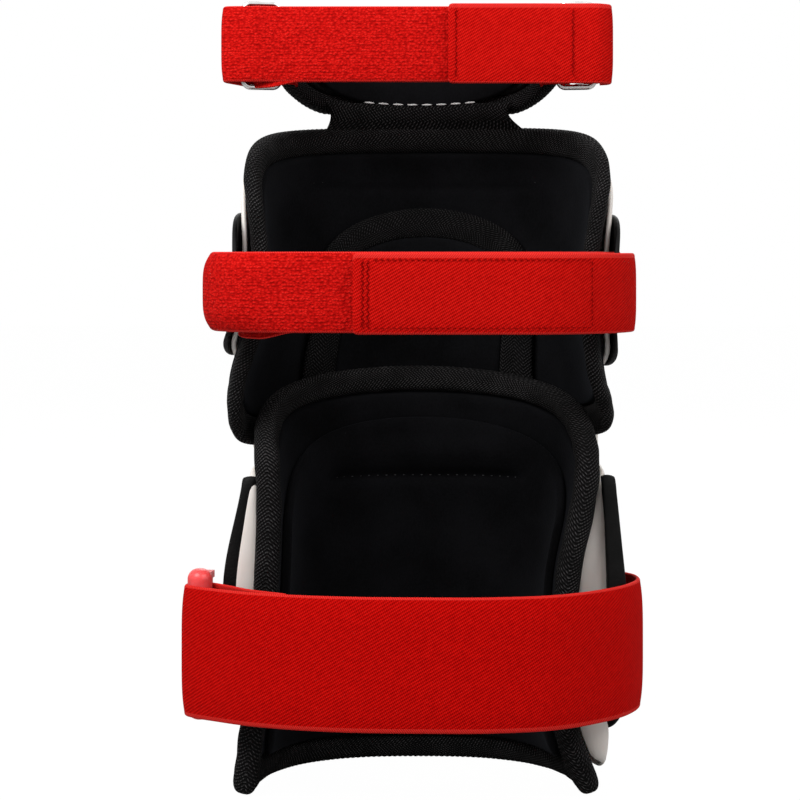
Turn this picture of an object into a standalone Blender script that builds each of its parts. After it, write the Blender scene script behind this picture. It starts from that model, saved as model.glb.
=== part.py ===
"""A junior ice-hockey shin guard, standing on its lower rim.

Metres, +Z up. The open, leg side faces -Y and the hard shells face +Y. Soft and hard layers are
pattern pieces laid on two U-shaped forms, one round the shin and knee and one round the thigh:
a pattern point is an arc length from the front centre line, a height, and a distance outwards.
"""

import functools
import math

import bmesh
import bpy
import numpy as np
from mathutils import Matrix, Vector

MM = 0.001
CLEAR = 0.3 * MM  # gap between pieces that touch
SEAM = 0.8 * MM  # between a liner and the binding round its edge
SAG = 0.7 * MM  # how far the flat facets of two curved layers may lean towards each other

# ---------------------------------------------------------------------------- driving sizes
# Leg space, level by level: height, half width, rear edge, front face, sideways lean.
LEG_LEVELS = np.array((
    (-12, 83.5, -44, 32.0, 1.0),
    (0, 80.0, -44, 32.0, 1.0),
    (28, 72.5, -43, 32.5, -2.6),
    (62, 69.5, -43, 33.5, -0.8),
    (100, 68.5, -42, 35.5, 0.8),
    (160, 73.5, -40, 38.5, 6.0),
    (200, 74.5, -38, 42.0, 1.4),
    (230, 74.5, -35.3, 44.9, 4.3),
    (255, 74.5, -33, 47.5, 5.0),
    (300, 74.5, -32, 48.5, 6.0),
    (335, 74.5, -31, 45.5, 5.0),
)) * MM
THIGH_LEVELS = np.array((
    (320, 64.0, 6, 53.5, 2.0),
    (334, 64.0, 5, 54.3, 2.0),
    (390, 65.5, 4, 60.0, 2.0),
)) * MM
SECTION_POWER = 2.5  # squareness of the U: 2 is an ellipse

BINDING_WIDTH = 13 * MM
LINER_THICK = 11 * MM
SHELL_THICK = 2.6 * MM
WING_THICK = 2.4 * MM

SHIN_SHOULDER = 156 * MM  # where the liner's rear edge turns into its arch
SHIN_RISE = 48 * MM
SHIN_PAD_LOW, SHIN_PAD_SHOULDER, SHIN_PAD_RISE = 14 * MM, 128 * MM, 49 * MM
SHIN_PAD_INSET = 8 * MM
SHIN_PAD_THICK = 4 * MM

SHELL_LOW, SHELL_HIGH, SHELL_SETBACK = 9 * MM, 160 * MM, 13 * MM
SHELL_STAND = LINER_THICK + CLEAR + SAG  # from the leg form to the shell's inner face
SHELL_ROUNDING = {False: 14, True: 3}  # the power of its corners, and of the lower left one
SHELL_SPLAY = {-1: 7 * MM, 1: 11.5 * MM}  # at the shell's rear edge, left and right
RIDGE_HEIGHT, RIDGE_WIDTH = 5 * MM, 12 * MM
RIB_HEIGHT, RIB_WIDTH, RIB_AT = 1.6 * MM, 6 * MM, 25 * MM
VENT_WIDTH, VENT_LENGTH, VENT_AT = 5 * MM, 17 * MM, 39 * MM
SHIN_VENT_HEIGHTS = (46 * MM, 74 * MM, 102 * MM)

WING_FRONT = 72 * MM  # arc length from the front centre line to a calf wing's front edge
CALF_WING_SPLAY = {-1: 10.2 * MM, 1: 13 * MM}
CALF_WING_SETBACK = {-1: 13 * MM, 1: 7.5 * MM}
CALF_WING_TOP = (131 * MM, 161 * MM)  # at the front edge, at the rear edge
CALF_WING_FOOT = {-1: (54 * MM, 42 * MM), 1: (50 * MM, 28 * MM)}

KNEE_LOW, KNEE_HIGH, KNEE_CROWN = 166 * MM, 324.5 * MM, 4.5 * MM
KNEE_THICK = 8 * MM
# How far the knee liner stands off the leg form: height, at the rear edges, at the front.
KNEE_STANDOFF = np.array((
    (140, 10.4, 20.0),
    (190, 10.4, 23.0),
    (214, 4.6, 21.5),
    (230, 1.2, 18.5),
    (250, 1.0, 15.0),
    (284, 5.5, 10.5),
    (299, 8.5, 9.0),
    (335, 7.5, 8.0),
)) * MM
KNEE_PAD_HALF, KNEE_PAD_LOW, KNEE_PAD_SHOULDER, KNEE_PAD_RISE = 53 * MM, 192 * MM, 254 * MM, 33 * MM
KNEE_PAD_THICK, KNEE_PAD_RIM = 5 * MM, 15 * MM

CAP_LOW, CAP_HIGH, CAP_SETBACK = 139 * MM, 314 * MM, 15 * MM
CAP_STEP = (154 * MM, 162.5 * MM)  # where the cap steps in below the knee liner
CAP_ROWS = ((-1, -0.75, 1), (CAP_LOW, CAP_STEP[1], CAP_HIGH))  # grid rows to heights
EAR_FRONT = (36 * MM, 57 * MM)  # where the front of the cap runs into its ears
CAP_EAR_SETBACK = 26 * MM  # how much further back from the rear edge the cap's ears stop
CAP_DOME = 3.4 * MM
CAP_VENT_HEIGHTS = (206 * MM, 246 * MM, 286 * MM)
CAP_VENT_AT = 46 * MM
CAP_SPLAY = 1 * MM

KNEE_WING_FRONT = 64 * MM
KNEE_WING_LOW, KNEE_WING_HIGH, KNEE_WING_SPLAY = 209 * MM, 287 * MM, 2.9 * MM
SLOT_SETBACK, SLOT_WIDTH, SLOT_MARGIN = 9 * MM, 8 * MM, 4 * MM

PIVOT_AT, PIVOT_HEIGHT, PIVOT_GAP = 66 * MM, 144.5 * MM, 0.8 * MM

STRAP_THICK = 2.1 * MM
HOOK_PATCH_THICK, HOOK_PATCH_LENGTH = 1.2 * MM, 24 * MM
ELASTIC_WIDTH, LOWER_ELASTIC_WIDTH = 38 * MM, 63.5 * MM
MIDDLE_LOW = 225 * MM
MIDDLE_HIGH = MIDDLE_LOW + ELASTIC_WIDTH
LOWER_LOW = 39 * MM
LOWER_HIGH = LOWER_LOW + LOWER_ELASTIC_WIDTH
TOP_LOW = 348.5 * MM
TOP_HIGH = TOP_LOW + ELASTIC_WIDTH
BACK = -78.6 * MM  # rearmost face of the straps
ANCHOR_FRONT, ANCHOR_BACK = 48 * MM, 69 * MM  # the lower strap's riveted end, along the shell
ANCHOR_RIVET_INSET = 15 * MM

THIGH_THICK = 9 * MM
THIGH_WAIST_HALF, THIGH_LOW, THIGH_FLARE, THIGH_SIDE = 48 * MM, 336.5 * MM, 12.5 * MM, 37 * MM
THIGH_CORNER = THIGH_LOW + THIGH_FLARE
THIGH_HIGH = THIGH_CORNER + THIGH_SIDE
THIGH_RIM = 10 * MM
THIGH_PAD_HIGH, THIGH_PAD_HALF, THIGH_PAD_THICK = 374 * MM, 66 * MM, 2.2 * MM
THIGH_PAD_BOWL, THIGH_PAD_ENDS = 26 * MM, 8 * MM  # how far the pad's foot bows down, height at its ends
WEB_THICK, WEB_GAP, WEB_HALF, WEB_REACH = 1.5 * MM, 0.45 * MM, 30 * MM, 9 * MM
WEB_LEAN = 3.5 * MM

RING_WIRE = 1.6 * MM
RING_INNER, RING_OUTER = 70.5 * MM, 88 * MM  # the ring's two standing bars, from the centre
RING_MARGIN = 1.4 * MM

RIVET_HEAD, RIVET_DOME, RIVET_SHANK = 4.6 * MM, 1.8 * MM, 2.0 * MM

HOOK_POST = 6 * MM
HOOK_CENTRE = Vector((-104.3, -37.5, 0)) * MM
HOOK_TOP, HOOK_BOTTOM = LOWER_HIGH + 7 * MM, LOWER_LOW - 4 * MM
HOOK_ARM = 3.4 * MM  # the height of each arm past the strap's edges
HOOK_PLATE = 4 * MM
HOOK_TONGUE_INSET = 12.75 * MM  # from each edge of the strap to the tongue
HOOK_TONGUE_LOW, HOOK_TONGUE_HIGH = LOWER_LOW + HOOK_TONGUE_INSET, LOWER_HIGH - HOOK_TONGUE_INSET
HOOK_REACH = 31 * MM  # from the post's axis to the front face of the hook's lip
CATCH_LOW, CATCH_HIGH, CATCH_THICK = LOWER_LOW + 1 * MM, LOWER_HIGH + 5.5 * MM, 2 * MM
CATCH_RIB = 2.6 * MM
LOOP_SLACK = 0.9 * MM  # between the lower strap's loop and the hook's post


# ---------------------------------------------------------------------------- small helpers
def spline(heights, values, z):
    """A Catmull-Rom curve through the level values, held straight past its ends."""
    i = int(np.clip(np.searchsorted(heights, z) - 1, 0, len(heights) - 2))
    step = heights[i + 1] - heights[i]
    t = float(np.clip((z - heights[i]) / step, 0, 1))
    slopes = np.gradient(values, heights, axis=0)
    return (
        values[i] * (2 * t**3 - 3 * t**2 + 1)
        + values[i + 1] * (3 * t**2 - 2 * t**3)
        + slopes[i] * step * (t**3 - 2 * t**2 + t)
        + slopes[i + 1] * step * (t**3 - t**2)
    )


def ease(x, low, high):
    """0 below low, 1 above high, and smooth between them."""
    t = min(max((x - low) / (high - low), 0), 1)
    return t * t * (3 - 2 * t)


def hump(x, centre, width):
    return math.exp(-(((x - centre) / width) ** 2))


def rounded(a, b, power):
    """Moves a point of the square from -1 to 1 into one whose corners are rounded."""
    length = (abs(a) ** power + abs(b) ** power) ** (1 / power)
    shrink = max(abs(a), abs(b)) / length if length else 1
    return a * shrink, b * shrink


class Form:
    """A U-shaped wall that opens to the rear: a squared ellipse at each level."""

    def __init__(self, levels):
        self.heights = levels[:, 0]
        self.values = levels[:, 1:]

    @functools.lru_cache(maxsize=None)
    def level(self, z):
        """Arc lengths from the front centre line to the rear edge, with their x and y."""
        half, rear, front, lean = spline(self.heights, self.values, z)
        turn = np.linspace(0, math.pi / 2, 121)
        x = half * np.sin(turn) ** (2 / SECTION_POWER)
        y = rear + (front - rear) * np.maximum(np.cos(turn), 0) ** (2 / SECTION_POWER)
        length = np.concatenate(([0], np.cumsum(np.hypot(np.diff(x), np.diff(y)))))
        return length, x, y, lean

    def reach(self, z):
        return self.level(round(z, 6))[0][-1]

    def flat(self, s, z):
        length, x, y, lean = self.level(round(z, 6))
        past = max(abs(s) - length[-1], 0)
        side = math.copysign(1, s)
        return Vector((
            lean + side * np.interp(abs(s), length, x),
            np.interp(abs(s), length, y) - past,
            z,
        ))

    def point(self, s, z, out=0.0):
        """The point at arc length s and height z, moved outwards along the wall's normal."""
        along = self.flat(s + 0.4 * MM, z) - self.flat(s - 0.4 * MM, z)
        up = self.flat(s, z + MM) - self.flat(s, z - MM)
        return self.flat(s, z) + up.cross(along).normalized() * out


LEG = Form(LEG_LEVELS)
THIGH = Form(THIGH_LEVELS)

parts = bpy.data.collections.new("hockey_shin_guard")
cutters = bpy.data.collections.new("hockey_shin_guard_cutters")


def clear_scene():
    for item in list(bpy.data.objects):
        bpy.data.objects.remove(item, do_unlink=True)
    bpy.context.scene.collection.children.link(parts)
    bpy.context.scene.collection.children.link(cutters)
    bpy.context.scene.unit_settings.scale_length = 1.0


@functools.lru_cache(maxsize=None)
def finish(name):
    """A Principled material by name."""
    colour, roughness, metallic = {
        "black fabric": ((0.012, 0.012, 0.013), 0.9, 0),
        "black binding": ((0.01, 0.01, 0.011), 0.8, 0),
        "black moulding": ((0.015, 0.015, 0.016), 0.6, 0),
        "white plastic": ((0.82, 0.79, 0.75), 0.35, 0),
        "red webbing": ((0.62, 0.015, 0.012), 0.75, 0),
        "red plastic": ((0.75, 0.05, 0.05), 0.3, 0),
        "steel": ((0.75, 0.75, 0.76), 0.2, 1),
    }[name]
    material = bpy.data.materials.new(name)
    material.use_nodes = True
    shader = material.node_tree.nodes["Principled BSDF"]
    shader.inputs["Base Color"].default_value = (*colour, 1)
    shader.inputs["Roughness"].default_value = roughness
    shader.inputs["Metallic"].default_value = metallic
    return material


def add_object(name, mesh, material, home=parts):
    obj = bpy.data.objects.new(name, mesh)
    home.objects.link(obj)
    if material:
        mesh.materials.append(finish(material))
    if home is cutters:
        obj.hide_render = True
        obj.display_type = "WIRE"
    return obj


def thicken(obj, thick, offset, bevel):
    solid = obj.modifiers.new("thickness", "SOLIDIFY")
    solid.thickness = thick
    solid.offset = offset
    solid.use_even_offset = True
    solid.use_quality_normals = True
    if bevel:
        edges = obj.modifiers.new("edges", "BEVEL")
        edges.width = bevel
        edges.segments = 1
        edges.limit_method = "ANGLE"
        edges.angle_limit = math.radians(50)


def lay(name, material, place, across, up, thick, bevel=0.0, offset=1):
    """A sheet: a grid whose points go to place(a, b), each from -1 to 1, thickened outwards."""
    sheet = bmesh.new()
    bmesh.ops.create_grid(sheet, x_segments=across, y_segments=up, size=1)
    for vertex in sheet.verts:
        vertex.co = place(vertex.co.x, vertex.co.y)
    return sheet_object(name, material, sheet, thick, bevel, offset)


def sheet_object(name, material, sheet, thick, bevel, offset=1):
    sheet.normal_update()
    middle = sum((v.co for v in sheet.verts), Vector()) / len(sheet.verts)
    hollow = Vector((middle.x, middle.y - 60 * MM, middle.z))
    facing = sum((f.normal.dot(f.calc_center_median() - hollow) * f.calc_area() for f in sheet.faces))
    if facing < 0:
        bmesh.ops.reverse_faces(sheet, faces=sheet.faces)
    mesh = bpy.data.meshes.new(name)
    sheet.to_mesh(mesh)
    sheet.free()
    mesh.shade_smooth()
    obj = add_object(name, mesh, material)
    thicken(obj, thick, offset, bevel)
    return obj


def rim_samples(across, up, closed):
    """The (a, b) points round a grid's edge: up the left side, over the top, down the right."""
    side = list(np.linspace(-1, 1, up + 1))
    top = list(np.linspace(-1, 1, across + 1))
    walk = [(-1, b) for b in side] + [(a, 1) for a in top[1:]] + [(1, b) for b in side[-2::-1]]
    if closed:
        walk += [(a, -1) for a in top[-2::-1]]
    return walk


def rim(name, material, place, across, up, width, thick, bevel, closed=False):
    """A band round a sheet's edge: place(a, b, inset), from no inset to the band's width."""
    walk = rim_samples(across, up, closed)
    band = bmesh.new()
    rows = [[band.verts.new(place(a, b, inset)) for inset in (0, width)] for a, b in walk]
    for first, second in zip(rows, rows[1:]):
        band.faces.new((first[0], first[1], second[1], second[0]))
    bmesh.ops.remove_doubles(band, verts=band.verts, dist=0.01 * MM)
    return sheet_object(name, material, band, thick, bevel)


def smooth_route(points, step=5 * MM):
    """Plan points read at even steps from a smooth curve through the given ones."""
    given = np.array(points, float)
    run = np.concatenate(([0], np.cumsum(np.hypot(*np.diff(given, axis=0).T))))
    count = max(2, round(run[-1] / step))
    return np.array([spline(run, given, t) for t in np.linspace(0, run[-1], count + 1)])


def webbing(name, material, points, low, high, thick=STRAP_THICK, step=5 * MM):
    """A strap on edge, standing from low to high along a smooth plan route."""
    route = smooth_route(points, step)
    band = bmesh.new()
    rows = [[band.verts.new((x, y, z)) for z in (low, high)] for x, y in route]
    for first, second in zip(rows, rows[1:]):
        band.faces.new((first[0], first[1], second[1], second[0]))
    mesh = bpy.data.meshes.new(name)
    band.to_mesh(mesh)
    band.free()
    mesh.shade_smooth()
    obj = add_object(name, mesh, material)
    thicken(obj, thick, 0, 0)
    return obj


def box_cutter(name, centre, sides, axes=None):
    """A box, its sides along the given three axes."""
    bpy.ops.mesh.primitive_cube_add(size=1, location=centre)
    obj = bpy.context.object
    obj.name = name
    if axes:
        for vertex in obj.data.vertices:
            x, y, z = (vertex.co[i] * sides[i] for i in range(3))
            vertex.co = axes[0] * x + axes[1] * y + axes[2] * z
    else:
        for vertex in obj.data.vertices:
            vertex.co = Vector(vertex.co[i] * sides[i] for i in range(3))
    return to_cutters(obj)


def to_cutters(obj):
    for home in list(obj.users_collection):
        home.objects.unlink(obj)
    cutters.objects.link(obj)
    obj.hide_render = True
    obj.display_type = "WIRE"
    return obj


def combine(obj, other, operation="DIFFERENCE"):
    cut = obj.modifiers.new(f"{operation.lower()} {other.name}", "BOOLEAN")
    cut.operation = operation
    cut.object = other
    cut.solver = "EXACT"


def surface_axes(place, s, z):
    """Along, up and outward axes of the surface place(s, z) at a point."""
    along = (place(s + MM, z) - place(s - MM, z)).normalized()
    up = (place(s, z + MM) - place(s, z - MM)).normalized()
    out = up.cross(along).normalized()
    return along, out.cross(along) * -1, out


def slot_cutter(name, place, s, z, width, length, slant=0.0):
    """A round-ended slot through the surface place(s, z), its length upwards."""
    along, up, out = surface_axes(place, s, z)
    bpy.ops.mesh.primitive_cylinder_add(vertices=12, radius=width / 2, depth=24 * MM)
    obj = bpy.context.object
    obj.name = name
    stretch = (length - width) / 2
    lean = Vector((math.sin(slant), math.cos(slant)))
    for vertex in obj.data.vertices:
        x, y, deep = vertex.co
        y += stretch if y > 0 else -stretch
        a, b = x * lean.y + y * lean.x, y * lean.y - x * lean.x
        vertex.co = along * a + up * b - out * deep
    obj.location = place(s, z)
    return to_cutters(obj)


def rivet(name, place, s, z, hosts, depth, head=RIVET_HEAD):
    """A domed rivet whose head sits on place(s, z) and whose shank runs depth inwards."""
    _, _, out = surface_axes(place, s, z)
    place_at = place(s, z)
    gap = 1.6 * CLEAR
    foot = -depth + gap
    profile = [
        (0, gap + RIVET_DOME),
        (head * 0.65, gap + RIVET_DOME * 0.8),
        (head, gap),
        (RIVET_SHANK, gap),
        (RIVET_SHANK, foot),
        (0, foot),
    ]
    mesh = bpy.data.meshes.new(name)
    points = [(x, 0, y) for x, y in profile]
    mesh.from_pydata(points, [(i, i + 1) for i in range(len(points) - 1)], [])
    obj = add_object(name, mesh, "steel")
    obj.location = place_at
    obj.rotation_euler = out.to_track_quat("Z", "Y").to_euler()
    turn = obj.modifiers.new("turn", "SCREW")
    turn.axis = "Z"
    turn.steps = turn.render_steps = 8
    turn.use_merge_vertices = True
    turn.merge_threshold = 0.00001
    turn.use_smooth_shade = True
    bpy.ops.mesh.primitive_cylinder_add(
        vertices=12, radius=RIVET_SHANK + 1.2 * CLEAR, depth=2 * depth + 8 * MM
    )
    hole = bpy.context.object
    hole.name = f"{name}_hole"
    hole.location = place_at
    hole.rotation_euler = obj.rotation_euler
    to_cutters(hole)
    for host in hosts:
        combine(host, hole)
    return obj


# ---------------------------------------------------------------------------- shin section
def shin_edge(a, b, inset, shoulder=SHIN_SHOULDER, rise=SHIN_RISE, low=-6 * MM):
    """The shin liner's pattern: straight rear edges and an elliptical arch over the top."""
    turn = a * math.pi / 2
    top = shoulder + (rise - inset) * math.cos(turn)
    z = low + (top - low) * (b + 1) / 2
    return math.sin(turn) * (LEG.reach(z) - inset), z


def ramp(s, z, front=WING_FRONT, setback=SHELL_SETBACK):
    """0 at a wing's front edge, 1 at the rear edge of the shell under it, and past 1 behind that."""
    return min(max((abs(s) - front) / (LEG.reach(z) - setback - front), 0), 1.2) ** 2


def calf_flare(z):
    return ease(z, -6 * MM, 24 * MM) * (1 - ease(z, 98 * MM, 168 * MM))


def shin_shell_depth(s, z):
    length = ease(z, 18 * MM, 40 * MM) * (1 - ease(z, 128 * MM, 156 * MM))
    ridge = RIDGE_HEIGHT * hump(s, 0, RIDGE_WIDTH) + RIB_HEIGHT * hump(abs(s), RIB_AT, RIB_WIDTH)
    splay = SHELL_SPLAY[1 if s > 0 else -1] * ramp(s, z) * calf_flare(z)
    return SHELL_STAND + ridge * length + splay


def shin_shell_edge(a, b):
    a, b = rounded(a, b, SHELL_ROUNDING[a < 0 and b < 0])
    z = (SHELL_LOW + SHELL_HIGH) / 2 + (SHELL_HIGH - SHELL_LOW) / 2 * b
    return a * (LEG.reach(z) - SHELL_SETBACK), z


def calf_wing_depth(s, z):
    side = 1 if s > 0 else -1
    lift = (CALF_WING_SPLAY[side] - SHELL_SPLAY[side]) * ramp(s, z) * calf_flare(z)
    return shin_shell_depth(s, z) + SHELL_THICK + CLEAR + lift


def calf_wing_face(s, z):
    return LEG.point(s, z, calf_wing_depth(s, z) + WING_THICK)


def calf_wing_edge(side, a, b):
    a, b = rounded(a, b, 8)
    w, v = (a + 1) / 2, (b + 1) / 2
    foot, top = CALF_WING_FOOT[side], CALF_WING_TOP
    low = foot[0] + (foot[1] - foot[0]) * w
    high = top[0] + (top[1] - top[0]) * w**2.2
    z = low + (high - low) * v
    return side * (WING_FRONT + w * (LEG.reach(z) - CALF_WING_SETBACK[side] - WING_FRONT)), z


def make_shin():
    floor = box_cutter("floor_trim", (0, 0, -25 * MM), (0.5, 0.5, 50 * MM))

    def liner(a, b):
        s, z = shin_edge(a, b, BINDING_WIDTH + SEAM)
        return LEG.point(s, z)

    def binding(a, b, inset):
        s, z = shin_edge(a, b, inset)
        return LEG.point(s, z, -1.5 * MM)

    def pad(a, b):
        s, z = shin_edge(
            a, b, 0, SHIN_PAD_SHOULDER, SHIN_PAD_RISE, SHIN_PAD_LOW
        )
        s *= 1 - (BINDING_WIDTH + SHIN_PAD_INSET) / LEG.reach(z)
        return LEG.point(s, z, -SHIN_PAD_THICK - CLEAR - SAG)

    def shell(a, b):
        s, z = shin_shell_edge(a, b)
        return LEG.point(s, z, shin_shell_depth(s, z))

    liner_obj = lay("shin_liner", "black fabric", liner, 20, 9, LINER_THICK)
    binding_obj = rim(
        "shin_liner_binding", "black binding", binding, 20, 9, BINDING_WIDTH,
        LINER_THICK + 1.5 * MM + CLEAR, 3.5 * MM,
    )
    combine(liner_obj, floor)
    combine(binding_obj, floor)
    lay("shin_pad", "black fabric", pad, 14, 6, SHIN_PAD_THICK)
    shell_obj = lay("shin_shell", "white plastic", shell, 28, 10, SHELL_THICK)

    def shell_face(s, z):
        return LEG.point(s, z, shin_shell_depth(s, z) + SHELL_THICK)

    for side in (-1, 1):
        for number, z in enumerate(SHIN_VENT_HEIGHTS):
            vent = slot_cutter(
                f"shin_vent_{number}_{side}", shell_face, side * VENT_AT, z, VENT_WIDTH, VENT_LENGTH,
                side * 0.3,
            )
            combine(shell_obj, vent)

    wings = {}
    for side, word in ((-1, "left"), (1, "right")):
        def wing(a, b, side=side):
            s, z = calf_wing_edge(side, a, b)
            return LEG.point(s, z, calf_wing_depth(s, z))

        wings[side] = lay(f"calf_wing_{word}", "black moulding", wing, 8, 8, WING_THICK)
        for number, z in (("lower", 64 * MM), ("upper", 106 * MM)):
            rivet(
                f"calf_wing_rivet_{word}_{number}", calf_wing_face, side * (WING_FRONT + 7 * MM), z,
                (wings[side], shell_obj), WING_THICK + CLEAR + SHELL_THICK,
            )
    return shell_obj, wings


# ---------------------------------------------------------------------------- knee section
def knee_depth(s, z):
    side, front = spline(KNEE_STANDOFF[:, 0], KNEE_STANDOFF[:, 1:], z)
    share = min(abs(s) / LEG.reach(z), 1) ** 2
    return front + (side - front) * share


def knee_edge(a, b, inset):
    """The knee liner's pattern: a rectangle with well rounded corners."""
    a, b = rounded(a, b, 4.5)
    high = KNEE_HIGH + KNEE_CROWN * (1 - a * a)
    z = (KNEE_LOW + high) / 2 + ((high - KNEE_LOW) / 2 - inset) * b
    return a * (LEG.reach(z) - inset), z


def knee_pad_edge(a, b, inset):
    turn = a * math.pi / 2
    low = KNEE_PAD_LOW
    top = KNEE_PAD_SHOULDER + (KNEE_PAD_RISE - inset) * math.cos(turn)
    return math.sin(turn) * (KNEE_PAD_HALF - inset), low + (top - low) * (b + 1) / 2


def cap_depth(s, z):
    """The knee cap follows the knee liner, domes over the kneecap and steps in at its ears."""
    dome = CAP_DOME * hump(s, 0, 52 * MM) * hump(z, 246 * MM, 52 * MM)
    rib = 1.6 * MM * hump(abs(s), 28 * MM, 5 * MM) * ease(z, 176 * MM, 200 * MM)
    rib *= 1 - ease(z, 282 * MM, 304 * MM)
    over = knee_depth(s, z) + KNEE_THICK + 2 * CLEAR + SAG
    over += CAP_SPLAY * ramp(s, z, KNEE_WING_FRONT, 0) * hump(z, 246 * MM, 34 * MM)
    ear = SHELL_STAND + SHELL_THICK + PIVOT_GAP
    low = 1 - ease(z, *CAP_STEP)
    at_ear = ease(abs(s), *EAR_FRONT)
    return over + dome + rib + (ear - over) * low * at_ear


def cap_edge(a, b):
    a, b = rounded(a, b, 5 if b > 0 else 12)
    z = float(np.interp(b, *CAP_ROWS))
    ear = CAP_EAR_SETBACK * (1 - ease(z, 198 * MM, 226 * MM))
    return a * (LEG.reach(z) - CAP_SETBACK - ear), z


def knee_wing_depth(s, z):
    lift = KNEE_WING_SPLAY * ramp(s, z, KNEE_WING_FRONT, 0) * hump(z, 246 * MM, 46 * MM)
    return cap_depth(s, z) + SHELL_THICK + CLEAR + lift


def knee_wing_face(s, z):
    return LEG.point(s, z, knee_wing_depth(s, z) + WING_THICK)


def knee_wing_edge(side, a, b):
    a, b = rounded(a, b, 2.4)
    w = (a + 1) / 2
    z = (KNEE_WING_LOW + KNEE_WING_HIGH) / 2 + (KNEE_WING_HIGH - KNEE_WING_LOW) / 2 * b
    rear = LEG.reach(z) - 18 * MM * (1 - ease(z, 204 * MM, 232 * MM))
    return side * (KNEE_WING_FRONT + w * (rear - KNEE_WING_FRONT)), z


def make_knee(shin_shell):
    def liner(a, b):
        s, z = knee_edge(a, b, BINDING_WIDTH + SEAM)
        return LEG.point(s, z, knee_depth(s, z))

    def binding(a, b, inset):
        s, z = knee_edge(a, b, inset)
        return LEG.point(s, z, knee_depth(s, z) - 0.4 * MM)

    def pad(a, b):
        s, z = knee_pad_edge(a, b, KNEE_PAD_RIM + CLEAR)
        return LEG.point(s, z, knee_depth(s, z) - KNEE_PAD_THICK - CLEAR - SAG)

    def pad_rim(a, b, inset):
        s, z = knee_pad_edge(a, b, inset)
        return LEG.point(s, z, knee_depth(s, z) - KNEE_PAD_THICK - CLEAR - SAG)

    def cap(a, b):
        s, z = cap_edge(a, b)
        return LEG.point(s, z, cap_depth(s, z))

    def cap_face(s, z):
        return LEG.point(s, z, cap_depth(s, z) + SHELL_THICK)

    lay("knee_liner", "black fabric", liner, 18, 10, KNEE_THICK)
    rim(
        "knee_liner_binding", "black binding", binding, 18, 10, BINDING_WIDTH, KNEE_THICK + 0.4 * MM,
        3 * MM, closed=True,
    )
    lay("knee_pad", "black fabric", pad, 8, 6, KNEE_PAD_THICK - CLEAR)
    rim("knee_pad_binding", "black binding", pad_rim, 12, 6, KNEE_PAD_RIM, KNEE_PAD_THICK, 1.5 * MM)
    cap_obj = lay("knee_shell", "white plastic", cap, 24, 16, SHELL_THICK)
    for side in (-1, 1):
        for number, z in enumerate(CAP_VENT_HEIGHTS):
            vent = slot_cutter(
                f"cap_vent_{number}_{side}", cap_face, side * CAP_VENT_AT, z, VENT_WIDTH,
                VENT_LENGTH, side * -0.35,
            )
            combine(cap_obj, vent)

    wings = {}
    for side, word in ((-1, "left"), (1, "right")):
        def wing(a, b, side=side):
            s, z = knee_wing_edge(side, a, b)
            return LEG.point(s, z, knee_wing_depth(s, z))

        wings[side] = lay(f"knee_wing_{word}", "black moulding", wing, 8, 8, WING_THICK)
        for number, z in (("lower", 222 * MM), ("upper", 268 * MM)):
            rivet(
                f"knee_wing_rivet_{word}_{number}", knee_wing_face,
                side * (KNEE_WING_FRONT + 7 * MM), z, (wings[side], cap_obj),
                WING_THICK + CLEAR + SHELL_THICK,
            )
        middle = (MIDDLE_LOW + MIDDLE_HIGH) / 2
        slot = slot_cutter(
            f"strap_slot_{word}", knee_wing_face, side * (LEG.reach(middle) - SLOT_SETBACK), middle,
            SLOT_WIDTH, MIDDLE_HIGH - MIDDLE_LOW + 2 * SLOT_MARGIN,
        )
        combine(wings[side], slot)
        rivet(
            f"knee_pivot_{word}", cap_face, side * PIVOT_AT, PIVOT_HEIGHT, (cap_obj, shin_shell),
            2 * SHELL_THICK + PIVOT_GAP, head=5.2 * MM,
        )
    return Vector((0, cap_face(PIVOT_AT, PIVOT_HEIGHT).y, PIVOT_HEIGHT))


# ---------------------------------------------------------------------------- straps
def about(lean, points, side=1):
    """Plan points in millimetres from the form's middle, mirrored for the left side."""
    return [(lean + side * x * MM, y * MM) for x, y in points]


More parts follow.
